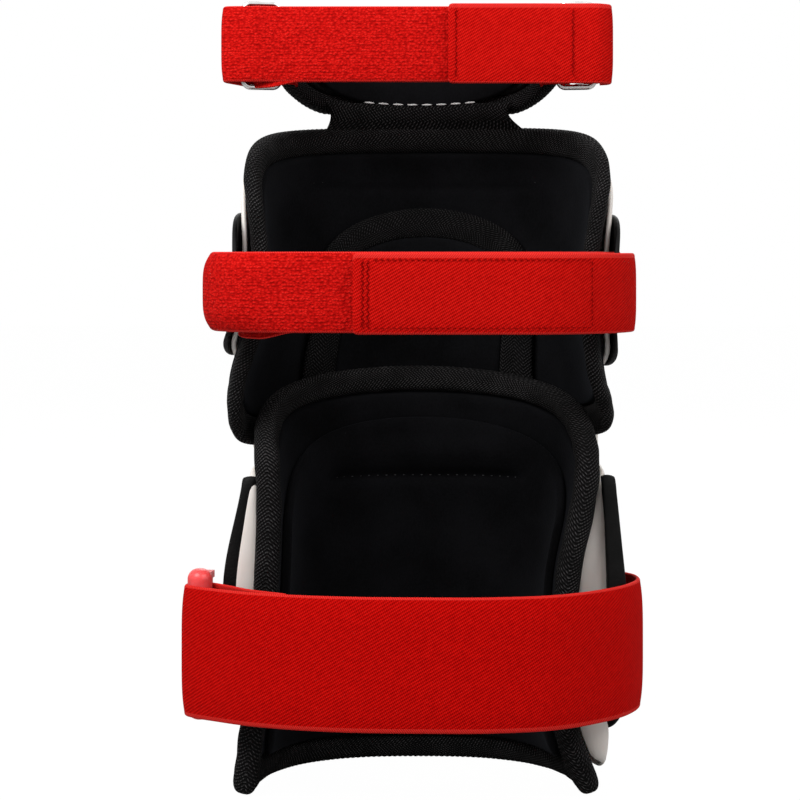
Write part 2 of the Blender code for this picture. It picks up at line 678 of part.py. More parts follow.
def make_middle_strap():
    middle = (MIDDLE_LOW + MIDDLE_HIGH) / 2
    lean = LEG.level(round(middle, 6))[3]
    slot = knee_wing_face(LEG.reach(middle) - SLOT_SETBACK, middle) - Vector((lean, 0, 0))
    x, y = slot.x / MM - WING_THICK / 2 / MM, slot.y / MM
    back = BACK / MM + STRAP_THICK / MM / 2
    band_y = back + (STRAP_THICK + HOOK_PATCH_THICK + 2 * CLEAR) / MM
    left_loop = about(lean, [
        (54, band_y + 6.5), (76, band_y + 15), (88.0, y - 17), (88.2, y - 9), (x - 3, y - 3),
        (x, y + 0.4), (x + 6, y - 3), (x + 11.5, y - 10), (x + 12, y - 24), (92, band_y + 8),
        (60, band_y + 2.2), (30, band_y + 0.4),
    ], -1)
    right_run = about(lean, [
        (0, band_y), (30, band_y + 0.4), (58, band_y + 3.2), (77, band_y + 12), (87, y - 17),
        (87.4, y - 8), (x - 3, y - 3), (x, y + 0.4), (x + 2.4, y),
    ])
    webbing("middle_strap_band", "red webbing", left_loop + right_run, MIDDLE_LOW + MM, MIDDLE_HIGH + MM)
    tab_end = -29 * MM - lean
    tab = about(lean, [
        (x + 3.7, y - 0.9), (x + 6.6, y - 5), (x + 7.8, y - 16), (x + 1, y - 31), (78, band_y + 4.4),
        (56, back + 0.9), (30, back), (0, back), (tab_end / MM, back),
    ])
    webbing("middle_strap_tab", "red webbing", tab, MIDDLE_LOW, MIDDLE_HIGH)
    patch_y = back + (STRAP_THICK / 2 + CLEAR + HOOK_PATCH_THICK / 2) / MM
    start = tab_end / MM + 1.5
    patch = about(lean, [(start, patch_y), (start + HOOK_PATCH_LENGTH / MM, patch_y)])
    webbing(
        "middle_hook_patch", "black fabric", patch, MIDDLE_LOW + 1.5 * MM, MIDDLE_HIGH - 1.5 * MM,
        HOOK_PATCH_THICK, 8 * MM,
    )
    return Vector((lean + (x + 3) * MM, y * MM, middle))


def make_lower_strap(shin_shell):
    middle = (LOWER_LOW + LOWER_HIGH) / 2
    start, end = ANCHOR_FRONT, ANCHOR_BACK

    def anchor(a, b):
        s = start + (end - start) * (a + 1) / 2
        z = middle + (LOWER_HIGH - LOWER_LOW) / 2 * b
        return LEG.point(s, z, shin_shell_depth(s, z) + SHELL_THICK + CLEAR)

    anchor_obj = lay("strap_anchor", "red webbing", anchor, 5, 6, STRAP_THICK)

    def anchor_face(s, z):
        return LEG.point(s, z, shin_shell_depth(s, z) + SHELL_THICK + CLEAR + STRAP_THICK)

    for word, z in (("lower", LOWER_LOW + ANCHOR_RIVET_INSET), ("upper", LOWER_HIGH - ANCHOR_RIVET_INSET)):
        rivet(
            f"strap_anchor_rivet_{word}", anchor_face, start + 9 * MM, z,
            (anchor_obj, shin_shell), STRAP_THICK + SHELL_THICK + CLEAR, head=5.4 * MM,
        )
    tip = LEG.point(end, middle, shin_shell_depth(end, middle) + SHELL_THICK + CLEAR + STRAP_THICK / 2)
    along, _, out = surface_axes(anchor_face, end, middle)
    first = tip + along * 0.9 * MM + out * 1.6 * MM
    post = HOOK_CENTRE / MM
    turn_radius = (HOOK_POST + LOOP_SLACK + STRAP_THICK / 2) / MM
    back = BACK / MM + 1.6 + STRAP_THICK / MM / 2
    angles = np.radians(np.linspace(60, 240, 7))
    turn = [(post.x + turn_radius * math.cos(t), post.y + turn_radius * math.sin(t)) for t in angles]
    points = [(-60, back + 13.2), (-78, back + 25), (-89, back + 36)] + turn
    points += [
        (-96, back + 23.5), (-84, back + 16.6), (-60, back + 7.6), (-30, back + 1.8), (0, back),
        (40, back + 0.6), (66, back + 6.4), (88, back + 20), (105, back + 38.5), (111.7, back + 56),
        (110.6, back + 68), (102, back + 80), (89, back + 91), (first.x / MM, first.y / MM),
    ]
    webbing("lower_strap", "red webbing", [(x * MM, y * MM) for x, y in points], LOWER_LOW, LOWER_HIGH)


def make_hook(wings, shin_shell):
    """The hook: a round post inside the strap's loop, two arms past the strap and a lipped tongue."""
    bpy.ops.mesh.primitive_cylinder_add(
        vertices=20, radius=HOOK_POST, depth=HOOK_TOP - HOOK_BOTTOM,
        location=(HOOK_CENTRE.x, HOOK_CENTRE.y, (HOOK_TOP + HOOK_BOTTOM) / 2),
    )
    post = bpy.context.object
    post.name = "strap_hook"
    bpy.ops.object.transform_apply(location=True, rotation=False, scale=False)
    for home in list(post.users_collection):
        home.objects.unlink(post)
    parts.objects.link(post)
    post.data.materials.append(finish("red plastic"))
    edges = post.modifiers.new("edges", "BEVEL")
    edges.width = 3 * MM
    edges.segments = 3
    edges.limit_method = "ANGLE"
    edges.angle_limit = math.radians(50)

    forward = Vector((0.16, 1, 0)).normalized()
    inward = Vector((forward.y, -forward.x, 0))
    up = Vector((0, 0, 1))
    axes = (inward, forward, up)
    height = HOOK_TONGUE_HIGH - HOOK_TONGUE_LOW
    arms = (("top", LOWER_HIGH + CLEAR + HOOK_ARM / 2), ("bottom", LOWER_LOW - CLEAR - HOOK_ARM / 2))
    for word, z in arms:
        arm = box_cutter(
            f"hook_arm_{word}", HOOK_CENTRE + forward * 10 * MM + up * z,
            (HOOK_PLATE, 20 * MM, HOOK_ARM), axes,
        )
        combine(post, arm, "UNION")
    web = LOWER_HIGH - LOWER_LOW + 2 * HOOK_ARM
    upright = box_cutter(
        "hook_upright", HOOK_CENTRE + forward * 13.5 * MM + up * (LOWER_HIGH + LOWER_LOW) / 2,
        (HOOK_PLATE * 0.9, 8 * MM, web), axes,
    )
    tongue = box_cutter(
        "hook_tongue",
        HOOK_CENTRE + forward * (HOOK_REACH / 2 + 6 * MM) + up * (HOOK_TONGUE_LOW + height / 2),
        (HOOK_PLATE * 0.8, HOOK_REACH - 12 * MM, height), axes,
    )
    lip = box_cutter(
        "hook_lip",
        HOOK_CENTRE + forward * (HOOK_REACH - 1.4 * MM) + inward * 2.6 * MM
        + up * (HOOK_TONGUE_LOW + height / 2),
        (6.6 * MM, 2.8 * MM, height - 0.4 * MM), axes,
    )
    for piece in (upright, tongue, lip):
        combine(post, piece, "UNION")
    window = box_cutter(
        "hook_window",
        HOOK_CENTRE + forward * (HOOK_REACH / 2 + 4.6 * MM) + up * (HOOK_TONGUE_LOW + height / 2),
        (12 * MM, 8 * MM, height - 14 * MM), axes,
    )
    combine(post, window)
    post.data.shade_smooth()

    rib_at = HOOK_CENTRE + forward * (HOOK_REACH - 2.8 * MM - 2.4 * MM - CLEAR)
    reach = [calf_wing_face(-s * MM, 70 * MM).y for s in range(60, 130)]
    centre = 60 + min(range(len(reach)), key=lambda i: abs(reach[i] - rib_at.y))

    def plate(a, b):
        a, b = rounded(a, b, 5)
        s = -centre * MM + 10 * MM * a
        z = (CATCH_LOW + CATCH_HIGH) / 2 + (CATCH_HIGH - CATCH_LOW) / 2 * b
        return LEG.point(s, z, calf_wing_depth(s, z) + WING_THICK + CLEAR)

    def plate_face(s, z):
        return LEG.point(s, z, calf_wing_depth(s, z) + WING_THICK + CLEAR + CATCH_THICK)

    catch = lay("hook_catch", "white plastic", plate, 6, 8, CATCH_THICK)

    def rib(a, b):
        s = -centre * MM + 2.1 * MM * a
        z = HOOK_TONGUE_LOW + height / 2 + (height / 2 - 3 * MM) * b
        return LEG.point(s, z, calf_wing_depth(s, z) + WING_THICK + CLEAR + CATCH_THICK / 2)

    rib_obj = lay("catch_rib", None, rib, 2, 6, CATCH_THICK / 2 + CATCH_RIB)
    parts.objects.unlink(rib_obj)
    to_cutters(rib_obj)
    combine(catch, rib_obj, "UNION")
    for word, z in (("lower", CATCH_LOW + 7 * MM), ("upper", CATCH_HIGH - 7 * MM)):
        rivet(
            f"hook_catch_rivet_{word}", plate_face, -centre * MM, z, (catch, wings[-1], shin_shell),
            CATCH_THICK + WING_THICK + CLEAR, head=3.6 * MM,
        )


# ---------------------------------------------------------------------------- thigh section
def thigh_low(s):
    return THIGH_LOW + (THIGH_CORNER - THIGH_LOW) * ease(abs(s), THIGH_WAIST_HALF, 90 * MM) ** 0.8


def thigh_edge(a, b, inset):
    """The flap's pattern: a waist at the foot, flaring to full width at the strap."""
    a, b = rounded(a, b, 6)
    reach = THIGH.reach(0.36) - inset
    low = thigh_low(a * reach) + inset
    high = THIGH_HIGH - 8 * MM * a * a - inset
    return a * reach, low + (high - low) * (b + 1) / 2


def make_thigh():
    def flap(a, b):
        s, z = thigh_edge(a, b, THIGH_RIM + SEAM)
        return THIGH.point(s, z)

    def binding(a, b, inset):
        s, z = thigh_edge(a, b, inset)
        return THIGH.point(s, z)

    def lining(a, b):
        turn = a * math.pi / 2
        low = THIGH_PAD_HIGH - THIGH_PAD_ENDS - THIGH_PAD_BOWL * math.cos(turn)
        s = THIGH_PAD_HALF * math.sin(turn)
        z = low + (THIGH_PAD_HIGH - low) * (b + 1) / 2
        return THIGH.point(s, z, -THIGH_PAD_THICK - CLEAR - SAG)

    lay("thigh_flap", "black fabric", flap, 20, 5, THIGH_THICK)
    rim(
        "thigh_flap_binding", "black binding", binding, 20, 5, THIGH_RIM, THIGH_THICK, 2.4 * MM,
        closed=True,
    )
    lay("thigh_pad", "black fabric", lining, 12, 3, THIGH_PAD_THICK)

    web_z = (KNEE_HIGH + KNEE_CROWN + THIGH_LOW) / 2
    knee_face = LEG.point(WEB_HALF, KNEE_HIGH - WEB_REACH, knee_depth(WEB_HALF, KNEE_HIGH) - 0.4 * MM)
    web_y = min(THIGH.point(WEB_HALF, THIGH_LOW).y, knee_face.y) - 2 * SAG - WEB_THICK

    def web(word, low, high):
        def flat(a, b):
            return Vector((WEB_LEAN + WEB_HALF * a, web_y, low + (high - low) * (b + 1) / 2))

        lay(f"thigh_web_{word}", "black fabric", flat, 2, 1, WEB_THICK)

    web("upper", web_z + WEB_GAP, web_z + WEB_REACH)
    web("lower", web_z - WEB_REACH, web_z - WEB_GAP)
    return Vector((0, web_y + WEB_THICK / 2, web_z))


def wire_ring(name, side, lean):
    """A rectangular wire ring with rounded corners, standing between keeper and strap."""
    inner = Vector((lean + side * RING_INNER, -0.5 * MM, 0))
    outer = Vector((lean + side * RING_OUTER, -3.5 * MM, 0))
    low, high = TOP_LOW - RING_MARGIN - RING_WIRE, TOP_HIGH + RING_MARGIN * 0.2 + RING_WIRE
    bend = 3.5 * MM
    along = (outer - inner).normalized()
    length = (outer - inner).length
    points = []
    for x, z, start in (
        (length - bend, high - bend, 0), (bend, high - bend, 90),
        (bend, low + bend, 180), (length - bend, low + bend, 270),
    ):
        for turn in np.radians(np.linspace(start, start + 90, 4)):
            points.append(
                inner + along * (x + bend * math.cos(turn)) + Vector((0, 0, z + bend * math.sin(turn)))
            )
    curve = bpy.data.curves.new(name, "CURVE")
    curve.dimensions = "3D"
    curve.bevel_depth = RING_WIRE
    curve.bevel_resolution = 2
    path = curve.splines.new("POLY")
    path.points.add(len(points) - 1)
    for point, place in zip(path.points, points):
        point.co = (*place, 1)
    path.use_cyclic_u = True
    curve.materials.append(finish("steel"))
    obj = bpy.data.objects.new(name, curve)
    parts.objects.link(obj)


def make_top_strap():
    lean = THIGH.level(0.367)[3]
    for side, word in ((-1, "left"), (1, "right")):
        wire_ring(f"ring_{word}", side, lean)
        loop = about(lean, [
            (76.05, 16), (76.05, 6), (75, 0.5), (70.6, -3.4), (66, -0.9), (63, 2.0), (62.6, 8), (62.6, 15),
        ], side)
        webbing(f"keeper_{word}", "red webbing", loop, TOP_LOW - 0.5 * MM, TOP_HIGH - 2 * MM, 1.4 * MM, 3 * MM)
    band_y = -8.6
    left_loop = about(lean, [
        (58, band_y + 2.5), (74, band_y + 2.9), (80.5, -3.4), (84, 0.6), (91, 1.8), (98, -2),
        (97.6, -7.6), (89, band_y - 1.2), (70, band_y), (40, band_y),
    ], -1)
    right_run = about(lean, [
        (0, band_y), (40, band_y), (64, band_y + 1), (77, band_y + 4), (83, -1.2), (87, 1.2), (90.4, 1.4),
    ])
    webbing("top_strap_band", "red webbing", left_loop + right_run, TOP_LOW, TOP_HIGH)
    back = band_y - (STRAP_THICK + HOOK_PATCH_THICK + 2 * CLEAR) / MM
    tab_end = 16.5 - lean / MM
    tab = about(lean, [
        (91.8, 1.0), (95.4, -1.8), (96.2, -7), (91, -11.6), (78, back + 0.4), (60, back), (40, back),
        (tab_end, back),
    ])
    webbing("top_strap_tab", "red webbing", tab, TOP_LOW - 1 * MM, TOP_HIGH + 1 * MM)
    patch_y = back + (STRAP_THICK / 2 + CLEAR + HOOK_PATCH_THICK / 2) / MM
    patch = about(lean, [
        (tab_end + 1.5, patch_y), (tab_end + 1.5 + HOOK_PATCH_LENGTH / MM, patch_y),
    ])
    webbing(
        "top_hook_patch", "black fabric", patch, TOP_LOW + 1.5 * MM, TOP_HIGH - 1.5 * MM,
        HOOK_PATCH_THICK, 8 * MM,
    )
    return Vector((lean + 91 * MM, 1.2 * MM, (TOP_LOW + TOP_HIGH) / 2))


def hinge_empty(name, centre, prefixes):
    """An empty on a joint's axis that carries the pieces whose names start with the prefixes."""
    empty = bpy.data.objects.new(name, None)
    parts.objects.link(empty)
    empty.location = centre
    for obj in list(parts.objects):
        if obj.type != "EMPTY" and not obj.parent and obj.name.startswith(prefixes):
            obj.parent = empty
            obj.matrix_parent_inverse = Matrix.Translation(-Vector(centre))
    return empty


def hang(child, parent):
    child.parent = parent
    child.matrix_parent_inverse = Matrix.Translation(-parent.location)


clear_scene()
shin_shell, calf_wings = make_shin()
knee_axis = make_knee(shin_shell)
middle_tab_axis = make_middle_strap()
make_lower_strap(shin_shell)
make_hook(calf_wings, shin_shell)
thigh_axis = make_thigh()
top_tab_axis = make_top_strap()

middle_tab = hinge_empty("axis_middle_tab", middle_tab_axis, ("middle_strap_tab", "middle_hook_patch"))
top_tab = hinge_empty("axis_top_tab", top_tab_axis, ("top_strap_tab", "top_hook_patch"))
hinge_empty("axis_hook", HOOK_CENTRE, ("strap_hook",))
thigh = hinge_empty(
    "axis_thigh_fold", thigh_axis,
    ("thigh_flap", "thigh_pad", "thigh_web_upper", "keeper", "ring", "top_strap_band"),
)
knee = hinge_empty("axis_knee_flex", knee_axis, ("knee", "middle_strap_band", "thigh_web_lower"))
for child, parent in ((middle_tab, knee), (thigh, knee), (top_tab, thigh)):
    hang(child, parent)
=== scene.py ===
"""The looks of a junior ice-hockey shin guard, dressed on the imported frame.

Metres, +Z up, the open leg side faces -Y. Every piece is a grid worked out with numpy: a pattern
point is an arc length s from the front centre line, a height z and a depth outwards, and two
U-shaped forms, one for the leg and one for the thigh, turn it into a place.
"""

import math

import bpy
import numpy as np
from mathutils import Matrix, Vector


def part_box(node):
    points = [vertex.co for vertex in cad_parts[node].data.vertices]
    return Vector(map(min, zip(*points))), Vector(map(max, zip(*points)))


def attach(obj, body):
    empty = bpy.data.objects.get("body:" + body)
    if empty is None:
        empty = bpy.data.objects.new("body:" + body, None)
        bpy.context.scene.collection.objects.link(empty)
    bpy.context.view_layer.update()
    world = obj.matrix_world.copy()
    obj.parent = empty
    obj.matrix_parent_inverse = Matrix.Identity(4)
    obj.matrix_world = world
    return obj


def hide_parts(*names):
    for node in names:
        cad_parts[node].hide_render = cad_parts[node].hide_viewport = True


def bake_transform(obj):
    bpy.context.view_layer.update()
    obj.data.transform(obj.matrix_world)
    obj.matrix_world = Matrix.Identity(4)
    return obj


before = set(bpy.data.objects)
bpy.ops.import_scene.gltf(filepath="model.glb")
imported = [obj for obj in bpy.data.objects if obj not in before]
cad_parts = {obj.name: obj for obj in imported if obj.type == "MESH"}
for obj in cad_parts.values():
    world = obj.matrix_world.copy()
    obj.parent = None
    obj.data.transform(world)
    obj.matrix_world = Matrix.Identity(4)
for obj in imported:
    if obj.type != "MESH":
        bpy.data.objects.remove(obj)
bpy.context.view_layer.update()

MM = 0.001
SIDES = ((-1, "left"), (1, "right"))

# ---------------------------------------------------------------------------- sizes
# Leg space, level by level: height, half width, rear edge, front face, sideways lean.
LEG_LEVELS = np.array((
    (-12, 83.5, -44, 32.0, 1.0), (0, 80.0, -44, 32.0, 1.0), (28, 72.5, -43, 32.5, -2.6),
    (62, 69.5, -43, 33.5, -0.8), (100, 68.5, -42, 35.5, 0.8), (160, 73.5, -40, 38.5, 6.0),
    (200, 74.5, -38, 42.0, 1.4), (230, 74.5, -35.3, 44.9, 4.3), (255, 74.5, -33, 47.5, 5.0),
    (300, 74.5, -32, 48.5, 6.0), (335, 74.5, -31, 45.5, 5.0),
)) * MM
THIGH_LEVELS = np.array((
    (320, 64.0, 6, 53.5, 2.0), (334, 64.0, 5, 54.3, 2.0), (390, 65.5, 4, 60.0, 2.0),
)) * MM
SECTION_POWER = 2.5

CLEAR, SAG = 0.3 * MM, 0.7 * MM
BINDING_WIDTH, LINER_THICK, SHELL_THICK, WING_THICK = 13 * MM, 11 * MM, 2.6 * MM, 2.4 * MM
SHIN_SHOULDER, SHIN_RISE = 156 * MM, 48 * MM
PAD_LOW, PAD_SHOULDER, PAD_RISE, PAD_THICK = 14 * MM, 128 * MM, 49 * MM, 4 * MM
PAD_INSET, CHANNEL_HIGH = 21 * MM, 147 * MM
SHELL_LOW, SHELL_HIGH, SHELL_SETBACK = 9 * MM, 160 * MM, 13 * MM
SHELL_STAND = LINER_THICK + CLEAR + SAG
SHELL_SPLAY = (7 * MM, 11.5 * MM)  # left, right
WING_FRONT, RIVET_INSET = 72 * MM, 7 * MM
WING_SPLAY, WING_SETBACK = (10.2 * MM, 13 * MM), (13 * MM, 7.5 * MM)
WING_TOP = (131 * MM, 161 * MM)
WING_FOOT = {-1: (54 * MM, 42 * MM), 1: (44 * MM, 8 * MM)}

KNEE_LOW, KNEE_HIGH, KNEE_CROWN, KNEE_THICK = 166 * MM, 324.5 * MM, 4.5 * MM, 8 * MM
KNEE_STANDOFF = np.array((
    (140, 10.4, 20.0), (190, 10.4, 23.0), (214, 4.6, 21.5), (230, 1.2, 18.5), (250, 1.0, 15.0),
    (284, 5.5, 10.5), (299, 8.5, 9.0), (335, 7.5, 8.0),
)) * MM
KNEE_PAD_HALF, KNEE_PAD_LOW, KNEE_PAD_SHOULDER, KNEE_PAD_RISE = 53 * MM, 192 * MM, 254 * MM, 33 * MM
KNEE_PAD_THICK, KNEE_PAD_RIM = 5 * MM, 15 * MM
CAP_ROWS = ((-1, -0.75, 1), (139 * MM, 162.5 * MM, 314 * MM))
CAP_STEP, CAP_SETBACK, CAP_EAR_SETBACK = (154 * MM, 162.5 * MM), 15 * MM, 36 * MM
EAR_FRONT = (36 * MM, 57 * MM)
KNEE_WING_FRONT, KNEE_WING_LOW, KNEE_WING_HIGH = 64 * MM, 209 * MM, 283 * MM

# In plan millimetres, as the strap routes are: the strap, the hook tape and the gap at its faces,
# how long a patch of hook tape is, and the rearmost face of the straps.
STRAP, PATCH, SEAT, PATCH_RUN, BACK = 2.1, 1.2, 0.3, 24, -78.6
STRAP_THICK, SLIT_INSET = STRAP * MM, 9 * MM
MIDDLE_LOW, MIDDLE_HIGH = 225 * MM, 263 * MM
LOWER_LOW, LOWER_HIGH = 39 * MM, 102.5 * MM
TOP_LOW, TOP_HIGH = 348.5 * MM, 386.5 * MM

THIGH_THICK, THIGH_RIM = 9 * MM, 10 * MM
THIGH_LOW, THIGH_FLARE, THIGH_SIDE = 336.5 * MM, 12.5 * MM, 37 * MM
THIGH_CORNER = THIGH_LOW + THIGH_FLARE
THIGH_HIGH = THIGH_CORNER + THIGH_SIDE
GUSSET_HALF = 0.7 * MM  # half the thickness of the cloth

HOOK_X, HOOK_Y, HOOK_POST = -104.3 * MM, -37.5 * MM, 6 * MM
HOOK_LEAN = 0.16  # the tongue's slope in plan, x over y
CATCH_THICK, RIB_REACH = 2 * MM, 25.5 * MM

# Heights of each pair of rivets, and the place of the pivots from the middle and the floor.
CALF_RIVETS, KNEE_RIVETS = (64 * MM, 106 * MM), (222 * MM, 268 * MM)
ANCHOR_RIVETS, CATCH_RIVETS = (54 * MM, 87.5 * MM), (47 * MM, 101 * MM)
PIVOT_OUT, PIVOT_HIGH = 66 * MM, 144.5 * MM
# Vent slots: width and length, then for each shell the distance from the middle, heights, slant.
SLOT_SIZE = (5 * MM, 17 * MM)
SHELL_SLOTS = (39 * MM, (46 * MM, 74 * MM, 102 * MM), 0.3)
CAP_SLOTS = (46 * MM, (206 * MM, 246 * MM, 286 * MM), -0.35)


# ---------------------------------------------------------------------------- shape helpers
def ease(x, low, high):
    """0 below low, 1 above high, and the cubic 3t^2 - 2t^3 between."""
    t = np.clip((x - low) / (high - low), 0, 1)
    return t * t * (3 - 2 * t)


def window(x, rise, risen, fall, fallen):
    """1 from risen to fall, and 0 outside rise and fallen."""
    return ease(x, rise, risen) * (1 - ease(x, fall, fallen))


def climb(low, high, b):
    """From low to high as b goes from -1 to 1."""
    return low + (high - low) * (b + 1) / 2


def spread_about(low, high, b):
    """The same as climb, worked out from the middle."""
    return (low + high) / 2 + (high - low) / 2 * b


def hump(x, centre, width):
    """A bell curve: e to the minus squared distance over width."""
    return np.exp(-(((x - centre) / width) ** 2))


def power(x, exponent):
    """The signed power of a sine or cosine, which squares a circle."""
    return np.sign(x) * np.abs(x) ** exponent


def rounded(a, b, squareness):
    """Pulls the square from -1 to 1 in at its corners, onto a superellipse of that power."""
    length = (np.abs(a) ** squareness + np.abs(b) ** squareness) ** (1 / squareness)
    shrink = np.maximum(np.abs(a), np.abs(b)) / np.maximum(length, 1e-9)
    return a * shrink, b * shrink


def unit(vectors):
    """The vectors at length 1."""
    return vectors / np.linalg.norm(vectors, axis=-1, keepdims=True)


def circle(count):
    """Even angles once round, without the last."""
    return np.linspace(0, 2 * math.pi, count, endpoint=False)


def level_curve(knots, values, at):
    """A Catmull-Rom curve through the level values, held straight past its ends."""
    i = np.clip(np.searchsorted(knots, at) - 1, 0, len(knots) - 2)
    step = (knots[i + 1] - knots[i])[..., None]
    t = np.clip((at - knots[i])[..., None] / step, 0, 1)
    slopes = np.gradient(values, knots, axis=0)
    return (
        values[i] * (2 * t**3 - 3 * t**2 + 1) + values[i + 1] * (3 * t**2 - 2 * t**3)
        + slopes[i] * step * (t**3 - 2 * t**2 + t) + slopes[i + 1] * step * (t**3 - t**2)
    )


class Form:
    """A U-shaped wall open to the rear. At each height its plan is the squared ellipse
    x = half sin^0.8, y = rear + (front - rear) cos^0.8, read by arc length from the front.
    Tables over height and share of the arc hold x, y and their slopes along and up the wall."""

    def __init__(self, levels):
        self.heights = np.linspace(levels[0, 0], levels[-1, 0], 430)
        half, rear, front, lean = level_curve(levels[:, 0], levels[:, 1:], self.heights).T
        turn = np.linspace(0, math.pi / 2, 1200)
        x = half[:, None] * np.sin(turn) ** (2 / SECTION_POWER)
        depth = np.maximum(np.cos(turn), 0) ** (2 / SECTION_POWER)
        y = rear[:, None] + (front - rear)[:, None] * depth
        run = np.cumsum(np.hypot(np.diff(x, axis=1), np.diff(y, axis=1)), axis=1)
        run = np.hstack((np.zeros((len(half), 1)), run))
        self.reaches = run[:, -1]
        share = np.linspace(0, 1, 260)
        x = np.stack([np.interp(share * r[-1], r, row) for r, row in zip(run, x)])
        y = np.stack([np.interp(share * r[-1], r, row) for r, row in zip(run, y)])
        growth = np.gradient(self.reaches, self.heights)[:, None] / self.reaches[:, None] * share
        layers = [x, y]
        for value in (x, y):
            along = np.gradient(value, share, axis=1)
            layers += [
                along / self.reaches[:, None], np.gradient(value, self.heights, axis=0) - along * growth
            ]
        layers += [np.tile(v[:, None], share.shape) for v in (lean, np.gradient(lean, self.heights))]
        self.table = np.stack(layers, axis=-1)

    def reach(self, z):
        return np.interp(z, self.heights, self.reaches)

    def read(self, s, z):
        rows, columns = self.table.shape[:2]
        step = self.heights[1] - self.heights[0]
        row = np.clip((z - self.heights[0]) / step, 0, rows - 1.001)
        column = np.clip(np.abs(s) / self.reach(z), 0, 1) * (columns - 1.001)
        i, j = row.astype(int), column.astype(int)
        u, v = (row - i)[..., None], (column - j)[..., None]
        t = self.table
        low = t[i, j] * (1 - v) + t[i, j + 1] * v
        high = t[i + 1, j] * (1 - v) + t[i + 1, j + 1] * v
        return np.moveaxis(low * (1 - u) + high * u, -1, 0)

    def at(self, s, z, out=0.0):
        """Places of pattern points, moved outwards along the wall's normal by out."""
        s, z = np.broadcast_arrays(np.asarray(s, float), np.asarray(z, float))
        x, y, x_along, x_up, y_along, y_up, lean, lean_up = self.read(s, z)
        side = np.where(s < 0, -1.0, 1.0)
        past = np.maximum(np.abs(s) - self.reach(z), 0)
        spot = np.stack((lean + side * x, y - past, z), -1)
        up = np.stack((lean_up + side * x_up, y_up, np.ones_like(z)), -1)
        along = np.stack((x_along, side * y_along, np.zeros_like(z)), -1)
        normal = unit(np.cross(up, along))
        return spot + normal * np.broadcast_to(np.asarray(out, float), z.shape)[..., None]


LEG, THIGH = Form(LEG_LEVELS), Form(THIGH_LEVELS)


def by_side(s, left_right):
    return np.where(s > 0, left_right[1], left_right[0])


def level(depth):
    """The same depth everywhere."""
    return lambda s, z: np.full_like(s, depth)


def face_over(depth, thick):
    """The outer face, on the leg form, of a sheet of that thickness over a depth."""
    return lambda s, z: LEG.at(s, z, depth(s, z) + thick)


# ---------------------------------------------------------------------------- mesh helpers
def outward(points, faces):
    """The faces, turned round as a whole if the solid's signed volume is negative."""
    a, b, c, d = (points[faces[:, k]] for k in range(4))
    volume = (a * np.cross(b, c)).sum() + (a * np.cross(c, d)).sum()
    return faces if volume > 0 else faces[:, ::-1]


def new_piece(name, points, faces, uv=None, caps=()):
    """A mesh object from arrays. uv is one (u, v) per face corner, caps are extra rings."""
    mesh = bpy.data.meshes.new(name)
    if caps:
        mesh.from_pydata(points, [], faces.tolist() + [list(map(int, ring)) for ring in caps])
    else:
        mesh.vertices.add(len(points))
        mesh.vertices.foreach_set("co", points.astype(np.float32).ravel())
        mesh.loops.add(faces.size)
        mesh.loops.foreach_set("vertex_index", faces.astype(np.int32).ravel())
        mesh.polygons.add(len(faces))
        mesh.polygons.foreach_set("loop_start", np.arange(0, faces.size, faces.shape[1], dtype=np.int32))
        mesh.update(calc_edges=True)
    if uv is not None:
        layer = mesh.uv_layers.new(name="cloth")
        flat = np.zeros((len(mesh.loops), 2), np.float32)
        flat[:faces.size] = uv.reshape(-1, 2)
        for ring_start in range(faces.size, len(mesh.loops)):
            flat[ring_start] = uv[0, 0]
        layer.data.foreach_set("uv", flat.ravel())
    mesh.shade_smooth()
    mesh.validate()
    obj = bpy.data.objects.new(name, mesh)
    bpy.context.scene.collection.objects.link(obj)
    return obj


def quads(index):
    return np.stack((index[:-1, :-1], index[1:, :-1], index[1:, 1:], index[:-1, 1:]), -1).reshape(-1, 4)


def crowded(count, length, radius, turns=5):
    """Shares from -1 to 1, even in the middle and spaced as a quarter circle at each end."""
    rim = 2 * radius * (1 - np.cos(np.linspace(0, math.pi / 2, turns + 1))) / length
    return np.concatenate((-1 + rim, np.linspace(-1 + rim[-1], 1 - rim[-1], count)[1:-1], (1 - rim)[::-1]))


def from_ends(points, axis):
    """Distance along the grid lines of one axis to the nearer end."""
    step = np.linalg.norm(np.diff(points, axis=axis), axis=-1)
    run = np.insert(np.cumsum(step, axis=axis), 0, 0, axis=axis)
    return np.minimum(run, run.take([-1], axis=axis) - run)


def closing(grid, radius):
    """1 inside a grid, falling to 0 at its edges by the quarter ellipse sqrt(1 - (1 - e/radius)^2)."""
    close = 1.0
    for axis in (0, 1):
        e = np.clip(from_ends(grid, axis) / radius, 0, 1)
        close = close * np.sqrt(1 - (1 - e) ** 2)
    return close


def closed_sheet(name, s, z, top, bottom):
    """A piece from two grids of places that share their border, spread over the pattern."""
    n, m = s.shape
    index = np.arange(n * m).reshape(n, m)
    under = index.copy()
    under[1:-1, 1:-1] = n * m + np.arange((n - 2) * (m - 2)).reshape(n - 2, m - 2)
    points = np.concatenate((top.reshape(-1, 3), bottom[1:-1, 1:-1].reshape(-1, 3)))
    spread = np.stack((s, z), -1)
    spread = np.concatenate((spread.reshape(-1, 2), spread[1:-1, 1:-1].reshape(-1, 2)))
    faces = outward(points, np.concatenate((quads(index), quads(under)[:, ::-1])))
    return new_piece(name, points, faces, spread[faces])


